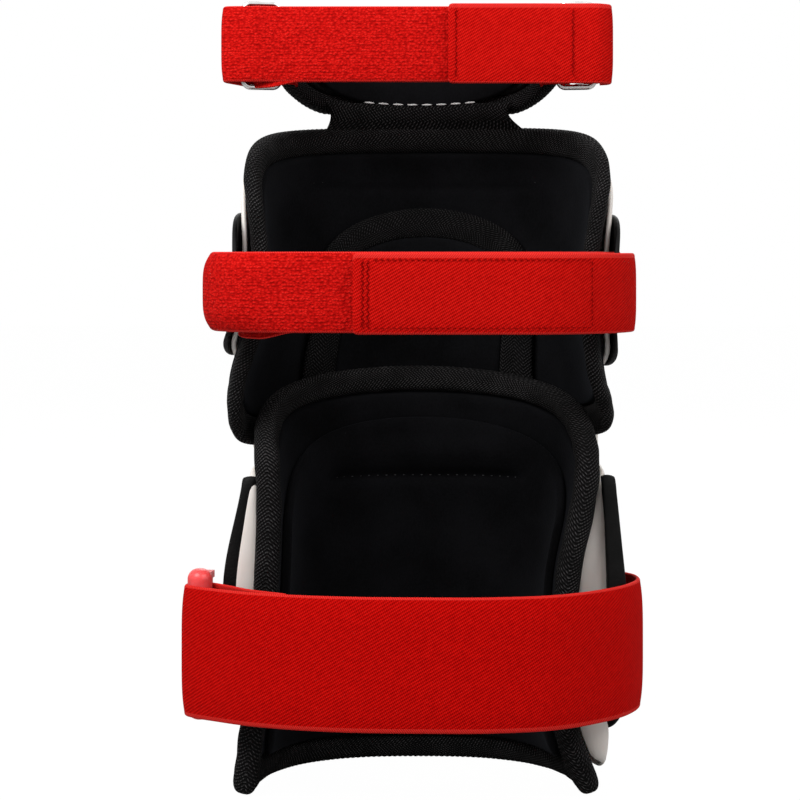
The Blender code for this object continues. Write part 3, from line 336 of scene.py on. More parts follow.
def slab(name, edge, form, inner, outer, radius, a, b, turns=5):
    """A closed sheet over a pattern. Its faces stand at the inner and outer depths, and close on
    each other over the edge radius. a and b say how each side is divided: a count, or a count
    and the side's length, which crowds the lines at its ends."""
    shares = [
        np.linspace(-1, 1, side) if isinstance(side, int) else crowded(*side, radius, turns)
        for side in (a, b)
    ]
    s, z = edge(*np.meshgrid(*shares, indexing="ij"))
    close = closing(form.at(s, z), radius)
    low, high = inner(s, z), outer(s, z)
    middle, half = (low + high) / 2, (high - low) / 2
    top, bottom = form.at(s, z, middle + half * close), form.at(s, z, middle - half * close)
    return closed_sheet(name, s, z, top, bottom)


def tube(name, points, u, v, closed):
    """A closed skin over rings of section points. points is (rings, section, 3), u the run at
    each ring and v the run round the section, one longer than the section."""
    n, m = points.shape[:2]
    rings = np.arange(n) if not closed else np.arange(n + 1) % n
    index = rings[:, None] * m + (np.arange(m + 1) % m)[None, :]
    faces = quads(index)
    grid = np.stack(np.meshgrid(u, v, indexing="ij"), -1)
    corner = np.arange(grid.shape[0] * grid.shape[1]).reshape(grid.shape[:2])
    spread = grid.reshape(-1, 2)[quads(corner)]
    flat = points.reshape(-1, 3)
    turned = outward(flat, faces)
    flipped = turned is not faces
    caps = []
    if not closed:
        first, last = np.arange(m), (n - 1) * m + np.arange(m)
        caps = [first[::-1], last] if flipped else [first, last[::-1]]
    return new_piece(name, flat, turned, spread[:, ::-1] if flipped else spread, caps)


def runs(points):
    """Distance along the points from the first."""
    return np.concatenate(([0], np.cumsum(np.linalg.norm(np.diff(points, axis=0), axis=-1))))


def rim_walk(edge, place, step, closed):
    """Pattern shares (a, b) at even steps round an edge: up the left, over, down the right."""
    t = np.linspace(-1, 1, 900)
    one = np.ones_like(t)
    sides = [(-one, t), (t, one), (one, -t)] + ([(-t, -one)] if closed else [])
    a, b = (np.concatenate([side[k] for side in sides]) for k in (0, 1))
    run = runs(place(*edge(a, b, 0.0)))
    at = np.linspace(0, run[-1], int(run[-1] / step) + 1)
    if closed:
        at = at[:-1]
    return np.interp(at, run, a), np.interp(at, run, b), at, run[-1]


def edge_tape(name, edge, form, depth, width, low, high, closed=True, step=0.55 * MM, squareness=2.9):
    """A woven tape folded round an edge. Its section is a squared ellipse between the depths low
    and high and from the edge to the width, and its outer turn is scalloped by the whip stitch."""
    a, b, u, total = rim_walk(edge, lambda s, z: form.at(s, z, depth(s, z)), step, closed)
    turn = np.linspace(0, 2 * math.pi, 27)[:-1]
    inset = width / 2 * (1 - power(np.cos(turn), 2 / squareness))
    rise = power(np.sin(turn), 2 / squareness)
    scallop = np.abs(np.sin(math.pi * u / (2.7 * MM)))[:, None] * np.maximum(np.cos(turn), 0)[None] ** 2
    pucker = 1 + 0.035 * np.sin(u / (3.1 * MM) + 2 * np.sin(u / (17 * MM)))[:, None] * np.abs(rise)[None]
    s, z = edge(a[:, None], b[:, None], inset[None, :] + 0.42 * MM * (1 - scallop))
    out = depth(s, z) + (low + high) / 2 + (high - low) / 2 * rise[None] * pucker * 0.985
    points = form.at(s, z, out)
    v = runs(np.concatenate((points[0], points[0][:1])))
    return tube(name, points, np.append(u, total) if closed else u, v, closed)


def smooth_route(points, step):
    """Plan points read at even steps from a smooth curve through the given ones."""
    given = np.array(points, float)
    run = runs(given)
    dense = level_curve(run, given, np.linspace(0, run[-1], 4000))
    run = runs(dense)
    at = np.linspace(0, run[-1], max(3, int(run[-1] / step) + 1))
    return np.stack([np.interp(at, run, dense[:, k]) for k in (0, 1)], -1), at


def webbing(
    name, route, low, high, thick=STRAP_THICK, step=1.0 * MM, drop=None, round_end=0.0, curl=0.0,
    hem=0.0, crown=None,
):
    """A strap standing on edge along a plan route. Its section is a flat band with round beaded
    selvedges; drop(u) lowers it, round_end rounds the corners of its last end,
    curl draws its two edges in towards the leg, by the fourth power of the distance across,
    crown(u) adds to that at a bend, and hem is the length of a folded last end."""
    plan, u = smooth_route(route, step)
    ahead = unit(np.gradient(plan, axis=0))
    side = np.stack((ahead[:, 1], -ahead[:, 0]), -1)
    height, bead = high - low, thick / 2
    flat = np.linspace(-1, 1, max(16, int(height / (1.3 * MM)))) * (height / 2 - bead)
    cap = np.linspace(0, math.pi, 9)[1:-1]
    swell = height / 2 - bead + bead * np.sin(cap)
    across = np.concatenate((flat, swell, flat[::-1], -swell))
    off = np.concatenate((np.ones_like(flat), np.cos(cap), -np.ones_like(flat), -np.cos(cap)))
    beaded = 1 - 0.10 * ease(height / 2 - np.abs(across), 1.2 * MM, 2.0 * MM) * (np.abs(off) > 0.99)
    off = off * bead * beaded
    ends = np.minimum(u, u[-1] - u)[:, None]
    thin = 0.35 + 0.65 * np.sqrt(1 - (1 - np.clip(ends / (0.9 * MM), 0, 1)) ** 2)
    if hem:
        thin = thin * (1 + 0.55 * (1 - ease((u[-1] - u)[:, None], hem - 0.5 * MM, hem + 0.7 * MM)))
    narrow = 1.0
    if round_end:
        e = np.clip((u[-1] - u)[:, None] / round_end, 0, 1)
        narrow = 1 - round_end * 0.8 / height * 2 * (1 - np.sqrt(1 - (1 - e) ** 2))
    drawn = curl + (crown(u)[:, None] if crown else 0)
    shift = off[None] * thin - drawn * (across[None] / (height / 2)) ** 4
    centre = (low + high) / 2 - (drop(u)[:, None] if drop else 0)
    points = np.stack((
        plan[:, :1] + side[:, :1] * shift, plan[:, 1:] + side[:, 1:] * shift,
        centre + across[None] * narrow * np.ones_like(shift),
    ), -1)
    v = np.concatenate((across, across[:1])) + height / 2
    obj = tube(name, points, u, v, False)
    obj["run"] = float(u[-1])
    return obj


def surface_axes(face, s, z):
    """The place, and the along, up and outward axes, of a surface at a pattern point."""
    spot = face(s, z)
    along = face(s + MM, z) - face(s - MM, z)
    up = face(s, z + MM) - face(s, z - MM)
    out, along = unit(np.cross(up, along)), unit(along)
    return spot, along, np.cross(along, out), out


def turned_solid(name, profile, spot, out, sides=28):
    """A profile of (radius, height) pairs turned round the outward axis through the spot."""
    profile = np.array(profile)
    across = unit(np.cross(out, (0.0, 0.0, 1.0)))
    other = np.cross(out, across)
    turn = circle(sides)
    ring = np.cos(turn)[:, None] * across + np.sin(turn)[:, None] * other
    points = spot + profile[:, 0, None, None] * ring[None] + profile[:, 1, None, None] * out
    v = np.linspace(0, 1, sides + 1) * 10 * MM
    return tube(name, points, runs(profile), v, False)


def rivet(name, node, body, face, s, z, head=4.6 * MM, deep=0.6 * MM, dome=1.8 * MM):
    """A domed rivet: the head is a quarter ellipse of revolution with a small flat top."""
    spot, _, _, out = surface_axes(face, s, z)
    turn = np.linspace(0, math.pi / 2, 9)
    profile = [(1.9 * MM, -deep), (1.9 * MM, 0.05 * MM), (head * 0.93, 0.05 * MM)]
    profile += [
        (head * max(math.cos(t) ** 0.8, 0.02), 0.25 * MM + (dome - 0.25 * MM) * math.sin(t)) for t in turn
    ]
    piece = turned_solid(name, profile, spot + out * 0.1 * MM, out)
    return settle(piece, body, "rivet_steel", steel, node)


def rivet_pair(name, node, body, face, s, heights, head=4.6 * MM):
    for word, z in zip(("lower", "upper"), heights):
        rivet(f"{name}_{word}", f"{node}_{word}", body, face, s, z, head)


def threads(name, path, length, gap, radius, body, slot, material, lift=0.0, zig=0.0, squash=0.6):
    """A row of stitches along a path of places: each is an ellipsoid bead, radius times
    sqrt(1 - t^2) across, with its long axis along the path."""
    path = np.asarray(path, float)
    run = runs(path)
    count = max(1, int(run[-1] / (length + gap)))
    starts = (np.arange(count) + 0.5) * run[-1] / count
    centre = np.stack([np.interp(starts, run, path[:, k]) for k in range(3)], -1)
    ahead = unit(np.stack([
        np.interp(starts + 0.3 * MM, run, path[:, k]) - np.interp(starts - 0.3 * MM, run, path[:, k])
        for k in range(3)
    ], -1))
    side = unit(np.cross(ahead, (0.0, -1.0, 0.0)))
    if zig:
        tilt = zig * np.where(np.arange(count) % 2, 1, -1)[:, None]
        ahead, side = ahead * np.cos(tilt) + side * np.sin(tilt), side * np.cos(tilt) - ahead * np.sin(tilt)
    face = np.cross(ahead, side)
    t = np.array((-1, -0.8, -0.3, 0.3, 0.8, 1))
    swell = np.sqrt(np.maximum(1 - t**2, 0.01))
    turn = circle(6)
    local = (
        (t * length / 2)[None, :, None, None] * ahead[:, None, None]
        + (swell[:, None] * np.cos(turn))[None, :, :, None] * radius * side[:, None, None]
        + (swell[:, None] * np.sin(turn))[None, :, :, None] * radius * squash * face[:, None, None]
    )
    points = centre[:, None, None] + local + np.array((0.0, -lift, 0.0))
    rings, section = len(t), len(turn)
    index = np.arange(rings * section).reshape(rings, section)
    one = quads(np.hstack((index, index[:, :1])))
    tips = np.array([
        [index[row, 0], index[row, k], index[row, k + 1], index[row, k + 2]]
        for row in (0, -1) for k in (1, 3)
    ])
    tips[:2] = tips[:2, ::-1]
    one = np.concatenate((outward(local[0].reshape(-1, 3), one), tips))
    faces = (one[None] + (np.arange(count) * rings * section)[:, None, None]).reshape(-1, 4)
    piece = new_piece(name, points.reshape(-1, 3), faces, np.zeros((len(faces), 4, 2)))
    return settle(piece, body, slot, material)


def settle(piece, body, slot, material, *nodes):
    """Gives a piece its finish and its body, and the nodes that it stands for."""
    piece.data.materials.clear()
    piece.data.materials.append(material)
    if body:
        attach(piece, body)
    if nodes:
        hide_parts(*nodes)
    return piece


def cushioned(piece, body, finish, node):
    """Settles a foam or tape piece, with finish its (slot, material)."""
    return settle(piece, body, *finish, node)


def boolean(obj, operation, *others):
    """Adds a Boolean with each of the others to a piece."""
    for other in others:
        step = obj.modifiers.new("boolean", "BOOLEAN")
        step.operation, step.object, step.solver = operation, other, "EXACT"


def discard(*objects):
    for obj in objects:
        bpy.data.objects.remove(obj, do_unlink=True)


def finished_mesh(obj, sharp=35):
    """Applies an object's modifiers to its mesh."""
    graph = bpy.context.evaluated_depsgraph_get()
    mesh = bpy.data.meshes.new_from_object(obj.evaluated_get(graph))
    obj.modifiers.clear()
    obj.data = mesh
    mesh.name = obj.name
    mesh.shade_smooth()
    mesh.set_sharp_from_angle(angle=math.radians(sharp))
    return obj


def cut(obj, *cutters):
    """Cuts the cutters' shapes out of a piece, and removes them."""
    boolean(obj, "DIFFERENCE", *cutters)
    finished_mesh(obj)
    discard(*cutters)


def slot_block(face, s, z, width, length, slant=0.0):
    """A round-ended block through a surface: a stadium outline swept along the outward axis."""
    spot, along, up, out = surface_axes(face, s, z)
    if up[2] < 0:
        up = -up
    turn = circle(32)
    x = width / 2 * np.cos(turn)
    y = width / 2 * np.sin(turn) + np.where(np.sin(turn) >= 0, 1, -1) * (length - width) / 2
    x, y = x * math.cos(slant) + y * math.sin(slant), y * math.cos(slant) - x * math.sin(slant)
    ring = spot + x[:, None] * along + y[:, None] * up
    points = ring[None] + np.array((-12 * MM, 12 * MM))[:, None, None] * out
    return tube("block", points, np.array((0, 1.0)), np.linspace(0, 1, 33), False)


def vent_slots(face, out, heights, slant):
    return [slot_block(face, side * out, z, *SLOT_SIZE, side * slant) for side, _ in SIDES for z in heights]


# ---------------------------------------------------------------------------- materials
THREAD_PITCH, STUB_PITCH = 1.7 * MM, 1.5 * MM


class Finish:
    """A Principled material with short calls that add its nodes."""

    def __init__(self, name, **sockets):
        self.material = bpy.data.materials.new(name)
        self.material.use_nodes = True
        self.tree = self.material.node_tree
        self.shader = self.tree.nodes["Principled BSDF"]
        for key, value in sockets.items():
            self.shader.inputs[key.replace("_", " ")].default_value = value

    def add(self, kind, **settings):
        node = self.tree.nodes.new("ShaderNode" + kind)
        for key, value in settings.items():
            setattr(node, key, value)
        return node

    def put(self, value, socket):
        if isinstance(value, bpy.types.NodeSocket):
            self.tree.links.new(value, socket)
        else:
            socket.default_value = value

    def math(self, operation, *values):
        node = self.add("Math", operation=operation)
        for value, socket in zip(values, node.inputs):
            self.put(value, socket)
        return node.outputs[0]

    def cloth(self):
        """The run and the width of a piece's own map, in metres."""
        node = self.add("SeparateXYZ")
        self.put(self.add("UVMap", uv_map="cloth").outputs[0], node.inputs[0])
        return node.outputs[0], node.outputs[1]

    def noise(self, scale, detail=3.0, stretch=(1, 1, 1), roughness=0.5):
        place = self.add("Mapping")
        place.inputs["Scale"].default_value = stretch
        self.put(self.add("TexCoord").outputs["Object"], place.inputs["Vector"])
        node = self.add("TexNoise")
        self.put(place.outputs[0], node.inputs["Vector"])
        node.inputs["Scale"].default_value = scale
        node.inputs["Detail"].default_value = detail
        node.inputs["Roughness"].default_value = roughness
        return node.outputs[0]

    def cells(self, vector, scale, **settings):
        """Distances to the nearest cell's middle."""
        node = self.add("TexVoronoi", **settings)
        node.inputs["Scale"].default_value = scale
        self.put(vector, node.inputs["Vector"])
        return node

    def waves(self, phase, period=None):
        """0 to 1 and back for every whole number of the phase, or for every period of a length."""
        if period:
            phase = self.math("DIVIDE", phase, period)
        wave = self.math("SINE", self.math("MULTIPLY", phase, 2 * math.pi))
        return self.math("MULTIPLY_ADD", wave, 0.5, 0.5)

    def blend(self, share, *stops):
        ramp = self.add("ValToRGB")
        self.put(share, ramp.inputs[0])
        elements = ramp.color_ramp.elements
        while len(elements) < len(stops):
            elements.new(0.5)
        for element, (position, colour) in zip(elements, stops):
            element.position, element.color = position, (*colour, 1)
        return ramp.outputs[0]

    def colour(self, value):
        self.put(value, self.shader.inputs["Base Color"])

    def rough(self, share, low, high):
        node = self.add("MapRange")
        self.put(share, node.inputs["Value"])
        node.inputs["To Min"].default_value, node.inputs["To Max"].default_value = low, high
        self.put(node.outputs[0], self.shader.inputs["Roughness"])

    def bump(self, height, distance, strength=1.0):
        node = self.add("Bump")
        node.inputs["Strength"].default_value = strength
        node.inputs["Distance"].default_value = distance
        self.put(height, node.inputs["Height"])
        self.put(node.outputs[0], self.shader.inputs["Normal"])
        return self.material


def brushed_lining():
    """Brushed nylon over foam: a short nap, faintly blue where it catches the light."""
    f = Finish(
        "brushed_lining", Specular_IOR_Level=0.03, Sheen_Weight=0.03, Sheen_Roughness=0.4,
        Sheen_Tint=(0.8, 0.85, 1.0, 1),
    )
    nap = f.noise(1500, 4, (1, 1, 0.45))
    worn = f.noise(28, 3)
    mixed = f.math("MULTIPLY_ADD", worn, 0.6, f.math("MULTIPLY", nap, 0.4))
    f.colour(f.blend(mixed, (0.32, (0.0014, 0.0014, 0.0015)), (0.62, (0.0056, 0.0057, 0.0066))))
    f.rough(nap, 0.78, 0.98)
    return f.bump(nap, 0.25 * MM, 0.7)


def herringbone_tape(name, brightness):
    """Binding tape: ribs lean one way and then the other across the width, as
    sin(run / pitch + zigzag of the width), and each rib is a row of shorter threads."""
    f = Finish(name, Specular_IOR_Level=0.10)
    run, width = f.cloth()
    zigzag = f.math("PINGPONG", f.math("DIVIDE", width, 6.4 * MM), 1.0)
    phase = f.math("ADD", f.math("DIVIDE", run, 1.8 * MM), f.math("MULTIPLY", zigzag, 2.9))
    rib = f.math("POWER", f.waves(phase), 1.6)
    knot = f.waves(f.math("SUBTRACT", f.math("DIVIDE", width, 1.5 * MM), f.math("DIVIDE", run, 4.1 * MM)))
    weave = f.math("MULTIPLY", rib, f.math("MULTIPLY_ADD", knot, 0.6, 0.4))
    worn = f.noise(75, 4)
    share = f.math("MULTIPLY", weave, f.math("MULTIPLY_ADD", worn, 1.1, 0.3))
    dull, bright = (
        tuple(brightness * c for c in shade) for shade in ((0.0062, 0.0058, 0.0058), (0.072, 0.068, 0.070))
    )
    f.colour(f.blend(share, (0.08, (0.0007, 0.0007, 0.0007)), (0.38, dull), (0.8, bright)))
    f.rough(weave, 0.9, 0.6)
    return f.bump(weave, 0.9 * MM, 1.0)


def black_weave():
    """Plain woven nylon: the higher of two crossing thread waves."""
    f = Finish("black_weave", Specular_IOR_Level=0.12, Sheen_Weight=0.02)
    run, width = f.cloth()
    warp = f.waves(f.math("ADD", run, width), THREAD_PITCH)
    weft = f.waves(f.math("SUBTRACT", run, width), THREAD_PITCH)
    weave = f.math("MAXIMUM", warp, weft)
    share = f.math("MULTIPLY", weave, f.math("MULTIPLY_ADD", f.noise(40, 3), 0.8, 0.5))
    f.colour(f.blend(share, (0.2, (0.0018, 0.0018, 0.0019)), (1.0, (0.0085, 0.0080, 0.0082))))
    f.rough(weave, 0.9, 0.7)
    return f.bump(weave, 0.3 * MM, 0.8)


def red_twill(name, steep, pitch, painted_sheen):
    """Knitted elastic: ribs that climb along the strap by the steepness, each broken into
    stitches like a rope, over a slow change of tone. The last argument scales its green and blue
    as a painted sheen of the light from above: less on the lower strap's copy, more on the tabs' copy."""
    f = Finish(
        name, Specular_IOR_Level=0.035, Sheen_Weight=0.015, Sheen_Roughness=0.35,
        Sheen_Tint=(1.0, 0.2, 0.15, 1),
    )
    run, width = f.cloth()
    rib = f.waves(f.math("MULTIPLY_ADD", run, steep, width), pitch)
    lean = -0.45 * math.copysign(1, steep)
    stitch = f.waves(f.math("MULTIPLY_ADD", width, lean, run), 0.62 * pitch)
    weave = f.math("MULTIPLY_ADD", rib, 0.52, f.math("MULTIPLY", stitch, 0.48))
    cloudy = f.noise(420, 4)
    share = f.math("MULTIPLY_ADD", cloudy, 0.45, f.math("MULTIPLY", weave, 0.72))
    stops = ((0.2, 0.27, 0.0008, 0.0005), (0.55, 0.46, 0.0026, 0.0015), (0.95, 0.66, 0.0100, 0.0062))
    f.colour(f.blend(share, *[(at, (r, painted_sheen * g, painted_sheen * b)) for at, r, g, b in stops]))
    f.rough(weave, 0.95, 0.75)
    return f.bump(share, 0.5 * MM, 0.9)


def red_selvedge():
    """The rolled edge of the elastic: a fine rope that catches more light."""
    f = Finish(
        "red_selvedge", Specular_IOR_Level=0.08, Sheen_Weight=0.04, Sheen_Roughness=0.35,
        Sheen_Tint=(1.0, 0.35, 0.3, 1),
    )
    run, width = f.cloth()
    rope = f.waves(f.math("ADD", f.math("DIVIDE", run, 1.1 * MM), f.math("DIVIDE", width, 1.4 * MM)))
    f.colour(f.blend(rope, (0.0, (0.46, 0.005, 0.004)), (1.0, (0.72, 0.030, 0.022))))
    f.rough(rope, 0.85, 0.65)
    return f.bump(rope, 0.2 * MM, 0.7)


def loop_pile():
    """The loop half of a touch fastener: rows of small curls along the band, each a cell a
    little longer than it is wide."""
    f = Finish(
        "loop_pile", Specular_IOR_Level=0.04, Sheen_Weight=0.03, Sheen_Roughness=0.4,
        Sheen_Tint=(1.0, 0.3, 0.25, 1),
    )
    run, width = f.cloth()
    place = f.add("CombineXYZ")
    f.put(f.math("MULTIPLY", run, 0.8), place.inputs[0])
    f.put(width, place.inputs[1])
    curl = f.cells(place.outputs[0], 860, feature="F1")
    curl.inputs["Randomness"].default_value = 0.8
    row = f.waves(width, THREAD_PITCH)
    cloudy = f.noise(900, 3)
    height = f.math("SUBTRACT", f.math("MULTIPLY_ADD", row, 0.16, 0.95), curl.outputs["Distance"])
    share = f.math("MULTIPLY_ADD", height, 0.6, f.math("MULTIPLY", cloudy, 0.42))
    f.colour(f.blend(
        share, (0.34, (0.33, 0.0020, 0.0015)), (0.6, (0.53, 0.0058, 0.0040)), (0.85, (0.67, 0.019, 0.014)),
    ))
    f.rough(cloudy, 0.85, 0.98)
    return f.bump(share, 1.0 * MM, 0.9)


def hook_pile():
    """The hook half of a touch fastener: a square field of stiff stubs."""
    f = Finish("hook_pile", Specular_IOR_Level=0.3)
    run, width = f.cloth()
    stub = f.math("MULTIPLY", f.waves(run, STUB_PITCH), f.waves(width, STUB_PITCH))
    f.colour(f.blend(stub, (0.1, (0.004, 0.004, 0.004)), (0.9, (0.02, 0.02, 0.021))))
    f.rough(stub, 0.8, 0.45)
    return f.bump(stub, 0.8 * MM, 1.0)


def white_moulding():
    """Injection-moulded shell plastic: a faint orange peel, small scuffs and warm shade."""
    f = Finish(
        "white_moulding", Subsurface_Weight=0.06, Subsurface_Scale=0.004,
        Subsurface_Radius=(1.0, 0.7, 0.5),
    )
    peel, scuff = f.noise(420, 2), f.noise(70, 5, (1, 1, 0.5), 0.6)
    f.colour(f.blend(scuff, (0.35, (0.79, 0.735, 0.685)), (0.6, (0.83, 0.785, 0.74))))
    f.rough(scuff, 0.46, 0.30)
    return f.bump(peel, 0.08 * MM, 0.35)


def black_moulding():
    """Textured black plastic: a spark-eroded grain of rounded cells."""
    f = Finish("black_moulding", Specular_IOR_Level=0.10)
    grain = f.cells(f.add("TexCoord").outputs["Object"], 900, feature="SMOOTH_F1")
    rub = f.noise(70, 4)
    f.colour(f.blend(rub, (0.35, (0.0016, 0.0016, 0.0016)), (0.7, (0.0046, 0.0045, 0.0045))))
    f.rough(rub, 0.62, 0.5)
    return f.bump(grain.outputs["Distance"], 0.22 * MM, 0.6)


def red_moulding():
    """Translucent red hook plastic: light scatters a little way into it."""
    f = Finish(
        "red_moulding", Subsurface_Weight=0.45, Subsurface_Scale=0.006, Specular_IOR_Level=0.45,
        Subsurface_Radius=(1.0, 0.22, 0.18),
    )
    flow = f.noise(180, 3)
    f.colour(f.blend(flow, (0.3, (0.70, 0.045, 0.048)), (0.7, (0.82, 0.080, 0.082))))
    f.rough(flow, 0.30, 0.40)
    return f.bump(flow, 0.06 * MM, 0.4)


def metal(name, shade, low, high):
    """Plated wire or rivet: fine drawn lines and dull patches in the shine."""
    f = Finish(name, Metallic=1.0)
    line = f.noise(1400, 2, (1, 1, 0.1))
    dull = f.noise(240, 4)
    f.colour(f.blend(dull, (0.3, tuple(0.85 * c for c in shade)), (0.7, shade)))
    f.rough(f.math("MULTIPLY_ADD", line, 0.3, f.math("MULTIPLY", dull, 0.7)), low, high)
    return f.bump(line, 0.02 * MM, 0.3)


def thread(name, dark, light, shine=0.3):
    """Sewing thread: a two-ply twist of lighter and darker strands."""
    f = Finish(name, Specular_IOR_Level=shine)
    twist = f.noise(2600, 2, (1, 1, 1))
    f.colour(f.blend(twist, (0.35, dark), (0.65, light)))
    f.rough(twist, 0.75, 0.5)
    return f.bump(twist, 0.06 * MM, 0.5)


lining, tape, weave = brushed_lining(), herringbone_tape("herringbone_tape", 1.0), black_weave()
# The knee cushion's tape is a copy of the binding at 0.55 of its brightness: painted shade of the hollow
# inside the knee, where little light reaches.
shaded_tape = herringbone_tape("shaded_tape", 0.55)
# The lower strap's twill gets 0.6 of the green and blue and the tabs' twill 1.1: painted shade low down and
# painted sheen of the light from above.
twill = red_twill("red_twill", -0.6, 1.65 * MM, 0.6)
fine_twill = red_twill("red_fine_twill", 0.6, 1.6 * MM, 1.1)
selvedge, loops, stubs = red_selvedge(), loop_pile(), hook_pile()
white, black, red = white_moulding(), black_moulding(), red_moulding()
steel = metal("rivet_steel_finish", (0.72, 0.71, 0.70), 0.22, 0.42)
chrome = metal("ring_chrome_finish", (0.86, 0.85, 0.84), 0.08, 0.22)
white_thread = thread("white_thread", (0.42, 0.42, 0.42), (0.80, 0.80, 0.79))
grey_thread = thread("grey_thread", (0.016, 0.016, 0.016), (0.075, 0.075, 0.08), 0.12)
red_thread = thread("dark_red_thread", (0.15, 0.0006, 0.0005), (0.24, 0.0012, 0.0010), 0.02)

LINING, FLAP_CLOTH = ("black_lining", lining), ("black_lining", weave)
BINDING, SHADED_BINDING = ("black_binding", tape), ("black_binding", shaded_tape)


def edged(piece, width, margin=1.5 * MM):
    """Gives the faces that lie within the margin of a strap's two edges the selvedge finish."""
    piece.data.materials.append(selvedge)
    mesh = piece.data
    uv = np.empty(len(mesh.loops) * 2, np.float32)
    mesh.uv_layers["cloth"].data.foreach_get("uv", uv)
    starts = np.empty(len(mesh.polygons), np.int32)
    mesh.polygons.foreach_get("loop_start", starts)
    across = uv.reshape(-1, 2)[starts, 1]
    near = (across < margin) | (across > width - margin)
    mesh.polygons.foreach_set("material_index", near.astype(np.int32))
    return piece


# ---------------------------------------------------------------------------- shin section
def shin_edge(a, b, inset, shoulder=SHIN_SHOULDER, rise=SHIN_RISE, low=0.0, square=16):
    """Straight rear edges, an elliptical arch over the top and rounded corners at the foot."""
    bottom = np.minimum(b, 0)
    a, bottom = rounded(a, bottom, square)
    b = np.where(b < 0, bottom, b)
    turn = a * math.pi / 2
    top = shoulder + (rise - inset) * np.cos(turn)
    z = low + inset + (top - low - inset) * (b + 1) / 2
    return np.sin(turn) * (LEG.reach(z) - inset), z


def ramp(s, z, front=WING_FRONT, setback=SHELL_SETBACK):
    """0 at a wing's front edge, 1 at the rear edge of the shell under it."""
    return np.clip((np.abs(s) - front) / (LEG.reach(z) - setback - front), 0, 1.2) ** 2


def calf_flare(z):
    return window(z, -6 * MM, 24 * MM, 98 * MM, 168 * MM)


def shin_shell_depth(s, z):
    """The shell stands off the foam, with a middle ridge, two ribs and splayed rear edges."""
    length = window(z, 18 * MM, 40 * MM, 128 * MM, 156 * MM)
    ridge = 5 * MM * hump(s, 0, 12 * MM) + 1.6 * MM * hump(np.abs(s), 25 * MM, 6 * MM)
    return SHELL_STAND + ridge * length + by_side(s, SHELL_SPLAY) * ramp(s, z) * calf_flare(z)


def shin_shell_edge(a, b):
    a, b = rounded(a, b, np.where((a < 0) & (b < 0), 3, 14))
    low = SHELL_LOW - 7 * MM * ease(a, 0.55, 0.95)
    z = spread_about(low, SHELL_HIGH, b)
    return a * (LEG.reach(z) - SHELL_SETBACK), z


def calf_wing_depth(s, z):
    lift = by_side(s, WING_SPLAY) - by_side(s, SHELL_SPLAY)
    return shin_shell_depth(s, z) + SHELL_THICK + CLEAR + lift * ramp(s, z) * calf_flare(z)


def calf_wing_rim(s, z):
    """The wing's rear margin turns in to the shell's outer face, and a little past its rear edge."""
    edge = LEG.reach(z) - by_side(s, WING_SETBACK)
    share = ease(np.abs(s), edge - 7 * MM, edge - 3 * MM) * ease(z, 44 * MM, 56 * MM)
    depth = calf_wing_depth(s, z)
    near = shin_shell_depth(s, z) + SHELL_THICK + CLEAR
    inside = near - 4.5 * MM * ease(np.abs(s), LEG.reach(z) - SHELL_SETBACK + 0.5 * MM, edge - 2 * MM)
    return depth - share * np.maximum(depth - inside, 0)


def calf_wing_edge(side, a, b):
    rear = np.where(b > 0, by_side(side, (8, 12)), by_side(side, (14, 3)))
    a, b = rounded(a, b, np.where(a > 0, rear, 14))
    w, v = (a + 1) / 2, (b + 1) / 2
    low = WING_FOOT[side][0] + (WING_FOOT[side][1] - WING_FOOT[side][0]) * w
    high = WING_TOP[0] + (WING_TOP[1] - WING_TOP[0]) * w**2.2
    z = low + (high - low) * v
    return side * (WING_FRONT + w * (LEG.reach(z) - by_side(side, WING_SETBACK) - WING_FRONT)), z


calf_wing_face = face_over(calf_wing_depth, WING_THICK)
shin_shell_face = face_over(shin_shell_depth, SHELL_THICK)


def pad_edge(a, b, inset=0.0):
    """The cushion's outline: the liner's shape at a smaller size."""
    s, z = shin_edge(a, b, inset, PAD_SHOULDER, PAD_RISE, PAD_LOW, 9)
    return s * (1 - PAD_INSET / LEG.reach(z)), z


def sewn_channel(s, z):
    """The pressed line across the cushion."""
    return hump(z, CHANNEL_HIGH, 3 * MM) * (1 - ease(np.abs(s), 50 * MM, 60 * MM))


def pad_face_depth(s, z):
    """The cushion's leg side: the foam's full height in slow waves, with a roll over its pressed line."""
    wave = 0.35 * MM * np.sin(s / (19 * MM)) * np.sin(z / (23 * MM))
    roll = 3 * MM * hump(z, 159 * MM, 7 * MM) * (1 - ease(np.abs(s), 46 * MM, 66 * MM))
    return -PAD_THICK - SAG + wave - roll + 3.2 * MM * sewn_channel(s, z)


